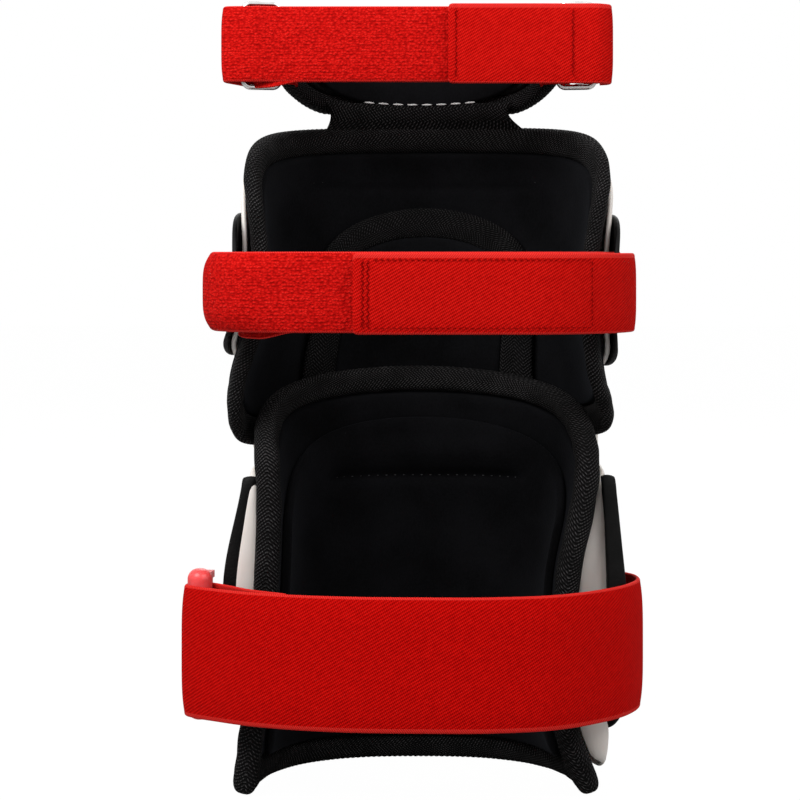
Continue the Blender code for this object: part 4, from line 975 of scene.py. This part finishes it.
def make_shin():
    piece = slab(
        "shin_foam_lining", lambda a, b: shin_edge(a, b, BINDING_WIDTH + CLEAR), LEG,
        level(0.0), level(LINER_THICK), 3.5 * MM,
        93, (56, 180 * MM),
    )
    cushioned(piece, "shin", LINING, "shin_liner")
    piece = edge_tape(
        "shin_edge_tape", shin_edge, LEG, level(0.0), BINDING_WIDTH,
        -1.5 * MM, LINER_THICK - CLEAR,
    )
    cushioned(piece, "shin", BINDING, "shin_liner_binding")
    piece = slab(
        "shin_cushion", pad_edge, LEG, pad_face_depth, level(-CLEAR),
        6 * MM, 101, (120, 150 * MM), 7,
    )
    cushioned(piece, "shin", LINING, "shin_pad")

    x = np.linspace(-52, 52, 60) * MM
    z = np.full_like(x, CHANNEL_HIGH)
    channel = LEG.at(x, z, pad_face_depth(x, z) - 0.1 * MM)
    threads(
        "shin_channel_thread", channel, 1.1 * MM, 3.4 * MM, 0.28 * MM, "shin", "black_lining", grey_thread
    )
    a = np.linspace(-0.86, 0.86, 200)
    s, z = pad_edge(a, np.ones_like(a), 3.2 * MM)
    seam = LEG.at(s, z, pad_face_depth(s, z) + 0.5 * MM)
    threads("shin_seam_thread", seam, 1.3 * MM, 15 * MM, 0.34 * MM, "shin", "black_lining", grey_thread)

    def turned_in(s, z):
        """The rim along the rear edges turns in until it meets the foam."""
        edge = LEG.reach(z) - SHELL_SETBACK
        share = ease(np.abs(s), edge - 6 * MM, edge - 2 * MM)
        share = share * ease(z, SHELL_LOW - 7 * MM, SHELL_LOW + 1 * MM)
        depth = shin_shell_depth(s, z)
        return depth - share * np.maximum(depth - LINER_THICK - 2 * CLEAR, 0)

    shell = slab(
        "shin_front_shell", shin_shell_edge, LEG, turned_in,
        lambda s, z: shin_shell_depth(s, z) + SHELL_THICK, 1.2 * MM,
        (190, 200 * MM), (64, 150 * MM), 4,
    )
    cut(shell, *vent_slots(shin_shell_face, *SHELL_SLOTS))
    settle(shell, "shin", "white_shell", white, "shin_shell")
    for side, word in SIDES:
        wing = slab(
            f"calf_guard_{word}", lambda a, b: calf_wing_edge(side, a, b), LEG, calf_wing_rim,
            lambda s, z: calf_wing_depth(s, z) + WING_THICK, 1.1 * MM,
            (26, 40 * MM), (60, 100 * MM), 4,
        )
        settle(wing, "shin", "black_moulding", black, f"calf_wing_{word}")
        rivet_pair(
            f"calf_rivet_{word}", f"calf_wing_rivet_{word}", "shin", calf_wing_face,
            side * (WING_FRONT + RIVET_INSET), CALF_RIVETS,
        )


# ---------------------------------------------------------------------------- knee section
def knee_depth(s, z):
    """How far the knee section stands off the leg form: more at the front than at its edges."""
    z = np.asarray(z, float)
    side, front = np.moveaxis(level_curve(KNEE_STANDOFF[:, 0], KNEE_STANDOFF[:, 1:], z), -1, 0)
    return front + (side - front) * np.minimum(np.abs(s) / LEG.reach(z), 1) ** 2


def knee_edge(a, b, inset):
    """A rectangle with well rounded corners and a crowned top."""
    a, b = rounded(a, b, 4.5)
    high = KNEE_HIGH + KNEE_CROWN * (1 - a * a)
    z = (KNEE_LOW + high) / 2 + ((high - KNEE_LOW) / 2 - inset) * b
    return a * (LEG.reach(z) - inset), z


def knee_pad_edge(a, b, inset):
    """The kneecap cushion: straight sides under a round arch."""
    turn = a * math.pi / 2
    top = KNEE_PAD_SHOULDER + (KNEE_PAD_RISE - inset) * np.cos(turn)
    return np.sin(turn) * (KNEE_PAD_HALF - inset), climb(KNEE_PAD_LOW, top, b)


def cap_depth(s, z):
    """The cap follows the knee foam, domes over the kneecap and steps in at its ears."""
    dome = 3.4 * MM * hump(s, 0, 52 * MM) * hump(z, 246 * MM, 52 * MM)
    rib = 1.6 * MM * hump(np.abs(s), 28 * MM, 5 * MM) * ease(z, 176 * MM, 200 * MM)
    over = knee_depth(s, z) + KNEE_THICK + 2 * CLEAR + SAG
    over = over + 1 * MM * ramp(s, z, KNEE_WING_FRONT, 0) * hump(z, 246 * MM, 34 * MM)
    ear = SHELL_STAND + SHELL_THICK + 0.8 * MM
    at_ear = (1 - ease(z, *CAP_STEP)) * ease(np.abs(s), *EAR_FRONT)
    return over + dome + rib * (1 - ease(z, 282 * MM, 304 * MM)) + (ear - over) * at_ear


def cap_edge(a, b):
    a, b = np.where(b > 0, rounded(a, b, 5), rounded(a, b, 12))
    z = np.interp(b, *CAP_ROWS)
    ear = CAP_EAR_SETBACK * (1 - ease(z, 198 * MM, 226 * MM))
    return a * (LEG.reach(z) - CAP_SETBACK - ear), z


cap_face = face_over(cap_depth, SHELL_THICK)


def knee_wing_depth(s, z):
    lift = 2.9 * MM * ramp(s, z, KNEE_WING_FRONT, 0) * hump(z, 246 * MM, 46 * MM)
    return cap_depth(s, z) + SHELL_THICK + CLEAR + lift


knee_wing_face = face_over(knee_wing_depth, WING_THICK)


def knee_wing_edge(side, a, b):
    a, b = rounded(a, b, np.where(a < 0, 3.2, 2.4))
    z = spread_about(KNEE_WING_LOW, KNEE_WING_HIGH, b)
    rear = LEG.reach(z) - 30 * MM * (1 - ease(z, 200 * MM, 227 * MM))
    return side * (KNEE_WING_FRONT + (a + 1) / 2 * (rear - KNEE_WING_FRONT)), z


def knee_pad_depth(s, z):
    return knee_depth(s, z) - KNEE_PAD_THICK - CLEAR - SAG


def knee_lining_depth(s, z):
    """The foam's leg side, pressed in along the quilting seam that runs inside the edge tape."""
    return knee_depth(s, z) + 0.9 * MM * hump(z, 297 * MM, 1.6 * MM) * (1 - ease(np.abs(s), 50 * MM, 62 * MM))


def make_knee():
    piece = slab(
        "knee_foam_lining", lambda a, b: knee_edge(a, b, BINDING_WIDTH + CLEAR), LEG,
        knee_lining_depth, lambda s, z: knee_depth(s, z) + KNEE_THICK, 3 * MM,
        (84, 190 * MM), (70, 130 * MM),
    )
    cushioned(piece, "knee", LINING, "knee_liner")
    piece = edge_tape(
        "knee_edge_tape", knee_edge, LEG, knee_depth, BINDING_WIDTH, -0.4 * MM, KNEE_THICK - 0.1 * MM
    )
    cushioned(piece, "knee", BINDING, "knee_liner_binding")
    piece = slab(
        "knee_cushion", lambda a, b: knee_pad_edge(a, b, KNEE_PAD_RIM + CLEAR), LEG,
        lambda s, z: knee_pad_depth(s, z) - 0.8 * MM * hump(s, 0, 26 * MM),
        lambda s, z: knee_pad_depth(s, z) + KNEE_PAD_THICK - CLEAR, 3 * MM,
        61, (44, 80 * MM),
    )
    cushioned(piece, "knee", LINING, "knee_pad")
    piece = edge_tape(
        "knee_cushion_tape", knee_pad_edge, LEG, knee_pad_depth, KNEE_PAD_RIM, 0.0,
        KNEE_PAD_THICK - CLEAR, closed=False,
    )
    # The darker copy of the tape here is painted shade of the knee's hollow.
    cushioned(piece, "knee", SHADED_BINDING, "knee_pad_binding")
    a = np.linspace(-0.72, 0.9, 240)
    s, z = knee_edge(a, np.ones_like(a), 27 * MM)
    seam = LEG.at(s, z, knee_depth(s, z) + 0.2 * MM)
    threads("knee_seam_thread", seam, 1.3 * MM, 4.2 * MM, 0.3 * MM, "knee", "black_lining", grey_thread)

    cap = slab(
        "knee_cap_shell", cap_edge, LEG, cap_depth, lambda s, z: cap_depth(s, z) + SHELL_THICK,
        1.2 * MM, (120, 190 * MM), (110, 175 * MM), 4,
    )
    cut(cap, *vent_slots(cap_face, *CAP_SLOTS))
    settle(cap, "knee", "white_shell", white, "knee_shell")
    middle = (MIDDLE_LOW + MIDDLE_HIGH) / 2
    for side, word in SIDES:
        wing = slab(
            f"knee_guard_{word}", lambda a, b: knee_wing_edge(side, a, b), LEG, knee_wing_depth,
            lambda s, z: knee_wing_depth(s, z) + WING_THICK, 1.1 * MM,
            (40, 60 * MM), (48, 78 * MM), 4,
        )
        cut(wing, slot_block(
            knee_wing_face, side * (LEG.reach(middle) - SLIT_INSET), middle, 8 * MM, 46 * MM,
        ))
        settle(wing, "knee", "black_moulding", black, f"knee_wing_{word}")
        rivet_pair(
            f"knee_rivet_{word}", f"knee_wing_rivet_{word}", "knee", knee_wing_face,
            side * (KNEE_WING_FRONT + RIVET_INSET), KNEE_RIVETS,
        )
        rivet(
            f"pivot_rivet_{word}", f"knee_pivot_{word}", "knee", cap_face, side * PIVOT_OUT,
            PIVOT_HIGH, 5.2 * MM, 5.6 * MM,
        )


# ---------------------------------------------------------------------------- straps
def about(lean, points, side=1):
    """Plan points in millimetres from the form's middle, mirrored for the left side."""
    return [(lean + side * x * MM, y * MM) for x, y in points]


def stretched(piece, width, rests_on, *with_pieces):
    """Hands back the strap piece as it is."""
    return piece


def upright_line(x, low, high, y):
    z = np.linspace(low, high, 30)
    return np.stack((np.full_like(z, x), np.full_like(z, y), z), -1)


def make_middle_strap():
    middle = (MIDDLE_LOW + MIDDLE_HIGH) / 2
    lean = float(LEG.read(np.array(0.0), np.array(middle))[6])
    spot = knee_wing_face(LEG.reach(middle) - SLIT_INSET, middle)
    x, y = (spot[0] - lean) / MM - 1.2, spot[1] / MM
    back = BACK + STRAP / 2
    band_y = back + STRAP + PATCH + 2 * SEAT
    route = about(lean, [
        (54, band_y + 6.5), (76, band_y + 15), (88.0, y - 17), (88.2, y - 9), (x - 3, y - 3),
        (x, y + 0.4), (x + 6, y - 3), (x + 11.5, y - 10), (x + 12, y - 24), (92, band_y + 8),
        (60, band_y + 2.2), (30, band_y + 0.4),
    ], -1) + about(lean, [
        (0, band_y), (30, band_y + 0.4), (58, band_y + 3.2), (77, band_y + 12), (87, y - 17),
        (87.4, y - 8), (x - 3, y - 3), (x, y + 0.4), (x + 2.4, y),
    ])
    turns = runs(np.array(route))
    width = MIDDLE_HIGH - MIDDLE_LOW
    piece = webbing(
        "middle_elastic_band", route, MIDDLE_LOW + 0.6 * MM, MIDDLE_HIGH + 0.6 * MM,
        drop=lambda u: 3.4 * MM * ease(u, 6 * MM, 26 * MM) * (1 - ease(u, 34 * MM, 66 * MM)),
        curl=1.5 * MM,
        crown=lambda u: 3.6 * MM * ease(u, turns[6], turns[8]) * (1 - ease(u, turns[9], turns[10])),
    )
    settle(piece, "knee", "red_webbing", loops, "middle_strap_band")
    stretched(edged(piece, width, 1.0 * MM), width, ["knee_guard_left", "knee_guard_right"])
    end = -29 - lean / MM
    tab = webbing("middle_elastic_tab", about(lean, [
        (x + 3.7, y - 0.9), (x + 6.6, y - 5), (x + 7.8, y - 16), (x + 1, y - 31), (78, band_y + 4.4),
        (56, back + 0.9), (30, back), (0, back), (end, back),
    ]), MIDDLE_LOW, MIDDLE_HIGH, step=0.7 * MM, round_end=2.4 * MM, curl=-1.1 * MM, hem=4 * MM)
    settle(tab, "middle_tab", "red_webbing", fine_twill, "middle_strap_tab")
    front = (back - STRAP / 2) * MM
    rows = hem_rows(
        "middle_tab", (-24.4, -21.9), front, MIDDLE_LOW + 3 * MM, MIDDLE_HIGH - 3.5 * MM,
        2.6 * MM, -0.9 * MM, 0.3 * MM, 0.62,
    )
    x = np.linspace(-19.5, 83, 120) * MM
    y = face_of(tab, x)
    for word, z in (("high", MIDDLE_HIGH - 3.2 * MM), ("low", MIDDLE_LOW + 3.2 * MM), ("far", None)):
        if z is None:
            z = np.linspace(MIDDLE_LOW + 3.4 * MM, MIDDLE_HIGH - 3.4 * MM, 120)
            line = np.stack((np.full(120, x[-1]), np.full(120, y[-1]), z), -1)
        else:
            line = np.stack((x, y, np.full(120, z)), -1)
        rows.append(threads(
            f"middle_tab_thread_{word}", line, 2.2 * MM, 0.6 * MM, 0.26 * MM, "middle_tab", "red_webbing",
            red_thread, 0.02 * MM, 0.12,
        ))
    stretched(edged(tab, width), width, ["middle_elastic_band"], *rows)
    hook_patch("middle", lean, end + 1.5, back, MIDDLE_LOW, MIDDLE_HIGH)


def hem_rows(body, places, y, low, high, length, gap, radius, squash):
    """Upright rows of overlapping stitches through a tab, at places in millimetres."""
    return [
        threads(
            f"{body}_thread_{k}", upright_line(x * MM, low, high, y), length, gap, radius, body,
            "red_webbing", red_thread, 0.05 * MM, squash,
        )
        for k, x in enumerate(places)
    ]


def hook_patch(word, lean, start, back, low, high):
    """The hook tape sewn to the leg side of a tab's end."""
    y = back + STRAP / 2 + SEAT + PATCH / 2
    patch = webbing(
        f"{word}_hook_tape", about(lean, [(start, y), (start + PATCH_RUN, y)]),
        low + 1.5 * MM, high - 1.5 * MM, PATCH * MM,
    )
    settle(patch, f"{word}_tab", "hook_tape", stubs, f"{word}_hook_patch")
    stretched(patch, high - low - 3 * MM, [f"{word}_elastic_tab"])


def face_of(piece, x):
    """The rearmost y of a strap near each given x."""
    mesh = piece.data
    co = np.empty(len(mesh.vertices) * 3, np.float32)
    mesh.vertices.foreach_get("co", co)
    co = co.reshape(-1, 3)
    return np.array([co[np.abs(co[:, 0] - at) < 1.2 * MM, 1].min() for at in x])


def anchor_depth(s, z):
    return shin_shell_depth(s, z) + SHELL_THICK + CLEAR


def make_lower_strap():
    middle = (LOWER_LOW + LOWER_HIGH) / 2
    half = (LOWER_HIGH - LOWER_LOW) / 2
    anchor = slab(
        "elastic_anchor", lambda a, b: (58.5 * MM + 10.5 * MM * a, middle + half * b), LEG, anchor_depth,
        lambda s, z: anchor_depth(s, z) + STRAP_THICK, 1.0 * MM,
        (14, 21 * MM), (40, 63 * MM), 4,
    )
    settle(anchor, "shin", "red_webbing", twill, "strap_anchor")
    anchor_face = face_over(anchor_depth, STRAP_THICK)
    rivet_pair("anchor_rivet", "strap_anchor_rivet", "shin", anchor_face, 57 * MM, ANCHOR_RIVETS, 5.4 * MM)
    tip = LEG.at(69 * MM, middle, anchor_depth(69 * MM, middle) + STRAP_THICK / 2)
    _, along, _, out = surface_axes(anchor_face, 69 * MM, middle)
    first = (tip + along * 0.9 * MM + out * 1.6 * MM) / MM
    radius = (HOOK_POST + 0.9 * MM + STRAP_THICK / 2) / MM
    back = BACK + 1.6 + STRAP / 2
    turn = np.radians(np.linspace(60, 240, 7))
    points = [(-60, back + 13.2), (-78, back + 25), (-89, back + 36)]
    points += [(HOOK_X / MM + radius * math.cos(t), HOOK_Y / MM + radius * math.sin(t)) for t in turn]
    points += [
        (-96, back + 23.5), (-84, back + 16.6), (-60, back + 7.6), (-30, back + 1.8), (0, back),
        (40, back + 0.6), (66, back + 6.4), (88, back + 20), (105, back + 38.5), (111.7, back + 56),
        (110.6, back + 68), (102, back + 80), (89, back + 91), (first[0], first[1]),
    ]
    piece = webbing(
        "lower_elastic", [(x * MM, y * MM) for x, y in points], LOWER_LOW, LOWER_HIGH,
        step=1.2 * MM, curl=1.7 * MM,
    )
    settle(piece, "shin", "red_webbing", twill, "lower_strap")
    stretched(edged(piece, 2 * half, 1.9 * MM), 2 * half, ["strap_hook_moulding", "elastic_anchor"])


def block(centre, sides, axes):
    """A box of the given sides along three axes, as a closed mesh."""
    signs = np.array([(x, y, z) for z in (-1, 1) for x, y in ((-1, -1), (1, -1), (1, 1), (-1, 1))])
    points = centre + (signs * np.array(sides) / 2) @ np.array(axes)
    faces = np.array([(0, 3, 2, 1), (4, 5, 6, 7), (0, 1, 5, 4), (1, 2, 6, 5), (2, 3, 7, 6), (3, 0, 4, 7)])
    return new_piece("block", points, outward(points, faces))


def make_hook():
    """The hook: a round post in the strap's loop, two arms past the strap and a lipped tongue."""
    low, high, plate, curve = 37 * MM, 110 * MM, 4 * MM, 5 * MM
    turn = np.linspace(0, math.pi / 2, 9)[1:]
    bottom = [(HOOK_POST - curve + curve * math.sin(t), curve - curve * math.cos(t)) for t in turn]
    profile = [(HOOK_POST - curve, 0.0)] + bottom
    profile += [(r, high - low - h) for r, h in profile[::-1]]
    post = turned_solid(
        "strap_hook_moulding", profile, np.array((HOOK_X, HOOK_Y, low)), np.array((0.0, 1e-9, 1.0)), 40
    )
    forward = np.array((HOOK_LEAN, 1.0, 0.0)) / math.hypot(HOOK_LEAN, 1)
    axes = (np.array((forward[1], -forward[0], 0.0)), forward, np.array((0.0, 0.0, 1.0)))
    at = np.array((HOOK_X, HOOK_Y, 0.0))
    tongue_z, tongue = 70.75 * MM, 38 * MM
    arm_z = (LOWER_HIGH + LOWER_LOW) / 2

    def place(ahead, z, sides, aside=0.0):
        return block(at + forward * ahead + axes[0] * aside + axes[2] * z, sides, axes)

    parts = [
        place(10 * MM, LOWER_HIGH + CLEAR + 1.7 * MM, (plate, 20 * MM, 3.4 * MM)),
        place(10 * MM, LOWER_LOW - CLEAR - 1 * MM, (plate, 20 * MM, 2 * MM)),
        place(13.5 * MM, arm_z, (plate * 0.9, 8 * MM, 70.3 * MM)),
        place(21.5 * MM, tongue_z, (plate * 0.8, 19 * MM, tongue)),
        place(29.6 * MM, tongue_z, (6.6 * MM, 2.8 * MM, tongue - 0.4 * MM), 2.6 * MM),
    ]
    boolean(post, "UNION", *parts)
    window = place(20.1 * MM, tongue_z, (12 * MM, 8 * MM, tongue - 14 * MM))
    boolean(post, "DIFFERENCE", window)
    edges = post.modifiers.new("edges", "BEVEL")
    edges.width, edges.segments, edges.limit_method = 0.5 * MM, 3, "ANGLE"
    edges.angle_limit = math.radians(45)
    finished_mesh(post, 50)
    discard(*parts, window)
    settle(post, "hook", "red_hook", red, "strap_hook")


def catch_depth(s, z):
    return calf_wing_depth(s, z) + WING_THICK + CLEAR


def make_catch():
    """The plate that the hook grips: a rounded strip on the left calf guard with a long rib."""
    box_low, box_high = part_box("hook_catch")
    s = -np.linspace(60, 130, 300) * MM
    places = calf_wing_face(s, np.full_like(s, 70 * MM))
    rib_y = HOOK_Y + RIB_REACH / math.hypot(HOOK_LEAN, 1)
    centre = s[np.abs(places[:, 1] - rib_y).argmin()]
    low, high = box_low[2] + 0.3 * MM, box_high[2] - 0.6 * MM

    def edge(a, b):
        a, b = rounded(a, b, 5)
        return centre + 10 * MM * a, spread_about(low, high, b)

    def outer(s, z):
        along = window(z, 54 * MM, 58 * MM, 84 * MM, 88 * MM)
        across = 1 - ease(np.abs(s - centre), 1.6 * MM, 2.8 * MM)
        return catch_depth(s, z) + CATCH_THICK + 1.6 * MM * along * across

    plate = slab(
        "catch_plate", edge, LEG, catch_depth, outer, 0.9 * MM,
        (34, 20 * MM), (60, 66 * MM), 4,
    )
    settle(plate, "shin", "white_shell", white, "hook_catch")
    face = face_over(catch_depth, CATCH_THICK)
    rivet_pair("catch_rivet", "hook_catch_rivet", "shin", face, centre, CATCH_RIVETS, 3.6 * MM)


# ---------------------------------------------------------------------------- thigh section
def thigh_edge(a, b, inset):
    """The flap: a waist at the foot that flares to full width at the strap."""
    a, b = rounded(a, b, 6)
    reach = THIGH.reach(0.36) - inset
    low = THIGH_LOW + (THIGH_CORNER - THIGH_LOW) * ease(np.abs(a * reach), 48 * MM, 90 * MM) ** 0.8 + inset
    high = THIGH_HIGH - 8 * MM * a * a - inset
    return a * reach, climb(low, high, b)


def thigh_lining_edge(a, b):
    """The bowl-shaped lining: a flat top over a half ellipse."""
    turn = a * math.pi / 2
    low = 366 * MM - 26 * MM * np.cos(turn)
    return 66 * MM * np.sin(turn), climb(low, 374 * MM, b)


def gusset_place(s, z):
    """The cloth that joins the flap to the knee: it leaves the knee's edge tape and meets the flap."""
    knee = LEG.at(s, z, knee_depth(s, z) + 2.4 * MM)
    flap = THIGH.at(s, z, -2.0 * MM)
    share = ease(z, 325 * MM, 339 * MM)[..., None]
    return knee * (1 - share) + flap * share


def make_thigh():
    piece = slab(
        "thigh_flap_foam", lambda a, b: thigh_edge(a, b, THIGH_RIM + CLEAR), THIGH,
        level(0.0), level(THIGH_THICK), 2.5 * MM,
        (80, 150 * MM), (24, 25 * MM),
    )
    cushioned(piece, "thigh", FLAP_CLOTH, "thigh_flap")
    piece = edge_tape(
        "thigh_edge_tape", thigh_edge, THIGH, level(0.0), THIGH_RIM, 0.0, THIGH_THICK,
    )
    cushioned(piece, "thigh", BINDING, "thigh_flap_binding")
    piece = slab(
        "thigh_lining", thigh_lining_edge, THIGH, level(-2.9 * MM),
        level(-0.4 * MM), 1.6 * MM, 73, (24, 30 * MM),
    )
    cushioned(piece, "thigh", LINING, "thigh_pad")
    s = np.linspace(-31, 32, 90) * MM
    z = 341.4 * MM + 1.3 * MM * (s / (31 * MM)) ** 2
    row = THIGH.at(s, z, -3.1 * MM)
    threads("thigh_white_thread", row, 5.6 * MM, 1.5 * MM, 0.5 * MM, "thigh", "black_lining", white_thread)

    a, b = np.meshgrid(np.linspace(-1, 1, 60), crowded(24, 18 * MM, GUSSET_HALF, 3), indexing="ij")
    z = 333.6 * MM + 8.6 * MM * b
    half = 48 * MM + 5 * MM * ((z - 331 * MM) / (10 * MM)) ** 2
    s = a * half
    face = gusset_place(s, z)
    normal = unit(np.cross(np.gradient(face, axis=0), np.gradient(face, axis=1)))
    shift = normal * (GUSSET_HALF * closing(face, GUSSET_HALF))[..., None]
    gusset = closed_sheet("thigh_gusset", s, z, face + shift, face - shift)
    settle(gusset, None, "black_binding", tape, "thigh_web_lower", "thigh_web_upper")
    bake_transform(gusset)


def wire_ring(side, word, lean):
    """A rectangular wire ring: a round section carried along a rounded rectangle."""
    inner = np.array((lean + side * 70.5 * MM, -0.5 * MM, 0))
    outer = np.array((lean + side * 88 * MM, -3.5 * MM, 0))
    wire, bend = 1.6 * MM, 3.5 * MM
    low, high = TOP_LOW - 0.3 * MM - wire, TOP_HIGH + 0.28 * MM + wire
    along = (outer - inner) / np.linalg.norm(outer - inner)
    length = np.linalg.norm(outer - inner)
    corners = (
        (length - bend, high - bend, 0), (bend, high - bend, 90), (bend, low + bend, 180),
        (length - bend, low + bend, 270),
    )
    turn = np.radians(np.linspace(0, 90, 10))
    x = np.concatenate([cx + bend * np.cos(turn + math.radians(start)) for cx, _, start in corners])
    z = np.concatenate([cz + bend * np.sin(turn + math.radians(start)) for _, cz, start in corners])
    centre = inner + x[:, None] * along + z[:, None] * np.array((0, 0, 1.0))
    ahead = unit(np.roll(centre, -1, axis=0) - np.roll(centre, 1, axis=0))
    flat = np.cross(along, (0, 0, 1.0))
    side_way = np.cross(ahead, flat)
    around = circle(16)
    points = centre[:, None] + wire * (
        np.cos(around)[None, :, None] * side_way[:, None] + np.sin(around)[None, :, None] * flat
    )
    u = runs(np.concatenate((centre, centre[:1])))
    piece = tube(f"wire_ring_{word}", points, u, np.linspace(0, 1, 17) * 10 * MM, True)
    settle(piece, "thigh", "ring_chrome", chrome, f"ring_{word}")


def make_top_strap():
    lean = float(THIGH.read(np.array(0.0), np.array(0.367))[6])
    for side, word in SIDES:
        wire_ring(side, word, lean)
        keeper = webbing(f"ring_keeper_{word}", about(lean, [
            (76.05, 16), (76.05, 6), (75, 0.5), (70.6, -3.4), (66, -0.9), (63, 2.0), (62.6, 8), (62.6, 15),
        ], side), TOP_LOW - 0.5 * MM, TOP_HIGH - 2 * MM, 1.4 * MM, 0.7 * MM)
        settle(keeper, "thigh", "red_webbing", fine_twill, f"keeper_{word}")
        stretched(keeper, 36.5 * MM, [f"wire_ring_{word}"])
    band_y = -8.6
    route = about(lean, [
        (58, band_y + 2.5), (74, band_y + 2.9), (80.5, -3.4), (84, 0.6), (91, 1.8), (98, -2),
        (97.6, -7.6), (89, band_y - 1.2), (70, band_y), (40, band_y),
    ], -1) + about(lean, [
        (0, band_y), (40, band_y), (64, band_y + 1), (77, band_y + 4), (83, -1.2), (87, 1.2), (90.4, 1.4),
    ])
    width = TOP_HIGH - TOP_LOW
    band = webbing(
        "top_elastic_band", route, TOP_LOW, TOP_HIGH,
        drop=lambda u: 2.8 * MM * ease(u, 2 * MM, 18 * MM) * (1 - ease(u, 20 * MM, 46 * MM)), curl=1.2 * MM,
    )
    settle(band, "thigh", "red_webbing", loops, "top_strap_band")
    stretched(edged(band, width, 1.0 * MM), width, ["wire_ring_left", "wire_ring_right"])
    back = band_y - STRAP - PATCH - 2 * SEAT
    end = 16.5 - lean / MM
    tab = webbing("top_elastic_tab", about(lean, [
        (91.8, 1.0), (95.4, -1.8), (96.2, -7), (91, -11.6), (78, back + 0.4), (60, back), (40, back),
        (end, back),
    ]), TOP_LOW - 1 * MM, TOP_HIGH + 1 * MM, step=0.7 * MM, round_end=2.4 * MM, curl=-1 * MM, hem=3.4 * MM)
    settle(tab, "top_tab", "red_webbing", fine_twill, "top_strap_tab")
    front = (back - STRAP / 2) * MM
    rows = hem_rows(
        "top_tab", (20.4, 78.6), front, TOP_LOW + 2.5 * MM, TOP_HIGH - 2.5 * MM,
        2.4 * MM, -0.6 * MM, 0.28 * MM, 0.5,
    )
    stretched(edged(tab, width + 2 * MM), width + 2 * MM, ["top_elastic_band"], *rows)
    hook_patch("top", lean, end + 1.5, back, TOP_LOW, TOP_HIGH)


# ---------------------------------------------------------------------------- studio
LAMPS = (  # name, place, width of its square in metres, watts
    ("key", (-0.42, -0.48, 0.79), 0.5, 7.4), ("fill", (0.6, -0.5, 0.82), 0.6, 4.4),
    ("rim", (0.2, 1.5, 1.4), 1.3, 12),
)
ROOM_STRENGTH = 0.42
FLOOR_REACH, FLOOR_GLOW, FLOOR_GLOW_SHARE = 6.0, 1.04, 0.95


def make_studio():
    scene = bpy.context.scene
    scene.view_settings.view_transform = "Standard"
    camera = bpy.data.cameras.new("camera")
    camera.lens, camera.sensor_width = 87.075, 36
    camera.shift_x, camera.shift_y = -0.01875, -0.18375
    viewer = bpy.data.objects.new("camera", camera)
    viewer.location, viewer.rotation_euler = (0, -0.976, 0.263), (math.pi / 2, 0, 0)
    scene.collection.objects.link(viewer)
    scene.camera = viewer

    for name, place, size, watts in LAMPS:
        lamp = bpy.data.lights.new(name, "AREA")
        lamp.size, lamp.energy = size, watts
        holder = bpy.data.objects.new(name, lamp)
        holder.location = place
        holder.rotation_euler = look_along(np.array((0, 0, 0.2)) - np.array(place))
        scene.collection.objects.link(holder)

    world = bpy.data.worlds.new("studio")
    scene.world = world
    world.use_nodes = True
    nodes, add, wire = tree_tools(world.node_tree)
    backdrop, room, rays = nodes["Background"], add("Background"), add("LightPath")
    backdrop.inputs["Color"].default_value = (1, 1, 1, 1)
    backdrop.inputs["Strength"].default_value = 1
    room.inputs["Color"].default_value = (1, 0.985, 0.97, 1)
    room.inputs["Strength"].default_value = ROOM_STRENGTH
    seen = rays.outputs["Is Camera Ray"]
    for kind in ("Is Glossy Ray", "Is Transmission Ray"):
        either = add("Math", operation="MAXIMUM")
        wire(either, seen, rays.outputs[kind])
        seen = either.outputs[0]
    mix = add("MixShader")
    wire(mix, seen, room.outputs[0], backdrop.outputs[0])
    wire(nodes["World Output"], mix.outputs[0])

    corners = FLOOR_REACH * np.array(((-1, -1, 0), (1, -1, 0), (1, 1, 0), (-1, 1, 0)), float)
    floor = new_piece("floor", corners, np.array([(0, 1, 2, 3)]))
    paint = bpy.data.materials.new("pale_floor")
    paint.use_nodes = True
    nodes, add, wire = tree_tools(paint.node_tree)
    shader, glow, rays = nodes["Principled BSDF"], add("Emission"), add("LightPath")
    shader.inputs["Roughness"].default_value = 0.9
    shader.inputs["Base Color"].default_value = (0.4, 0.4, 0.4, 1)
    shader.inputs["Specular IOR Level"].default_value = 0.0
    glow.inputs["Strength"].default_value = FLOOR_GLOW
    share, mix = add("Math", operation="MULTIPLY"), add("MixShader")
    share.inputs[1].default_value = FLOOR_GLOW_SHARE
    wire(share, rays.outputs["Is Camera Ray"])
    wire(mix, share.outputs[0], shader.outputs[0], glow.outputs[0])
    wire(nodes["Material Output"], mix.outputs[0])
    floor.data.materials.append(paint)


def tree_tools(tree):
    """A tree's nodes, a call that adds one, and a call that wires sockets to its first inputs."""
    def add(kind, **settings):
        node = tree.nodes.new("ShaderNode" + kind)
        for key, value in settings.items():
            setattr(node, key, value)
        return node

    def wire(node, *sockets):
        for socket, place in zip(sockets, node.inputs):
            tree.links.new(socket, place)

    return tree.nodes, add, wire


def look_along(ahead):
    """Turns that point a lamp along a direction."""
    flat = math.hypot(ahead[0], ahead[1])
    return (math.atan2(flat, -ahead[2]), 0, math.atan2(-ahead[0], ahead[1]))


make_studio()
make_shin()
make_knee()
make_middle_strap()
make_lower_strap()
make_hook()
make_catch()
make_thigh()
make_top_strap()
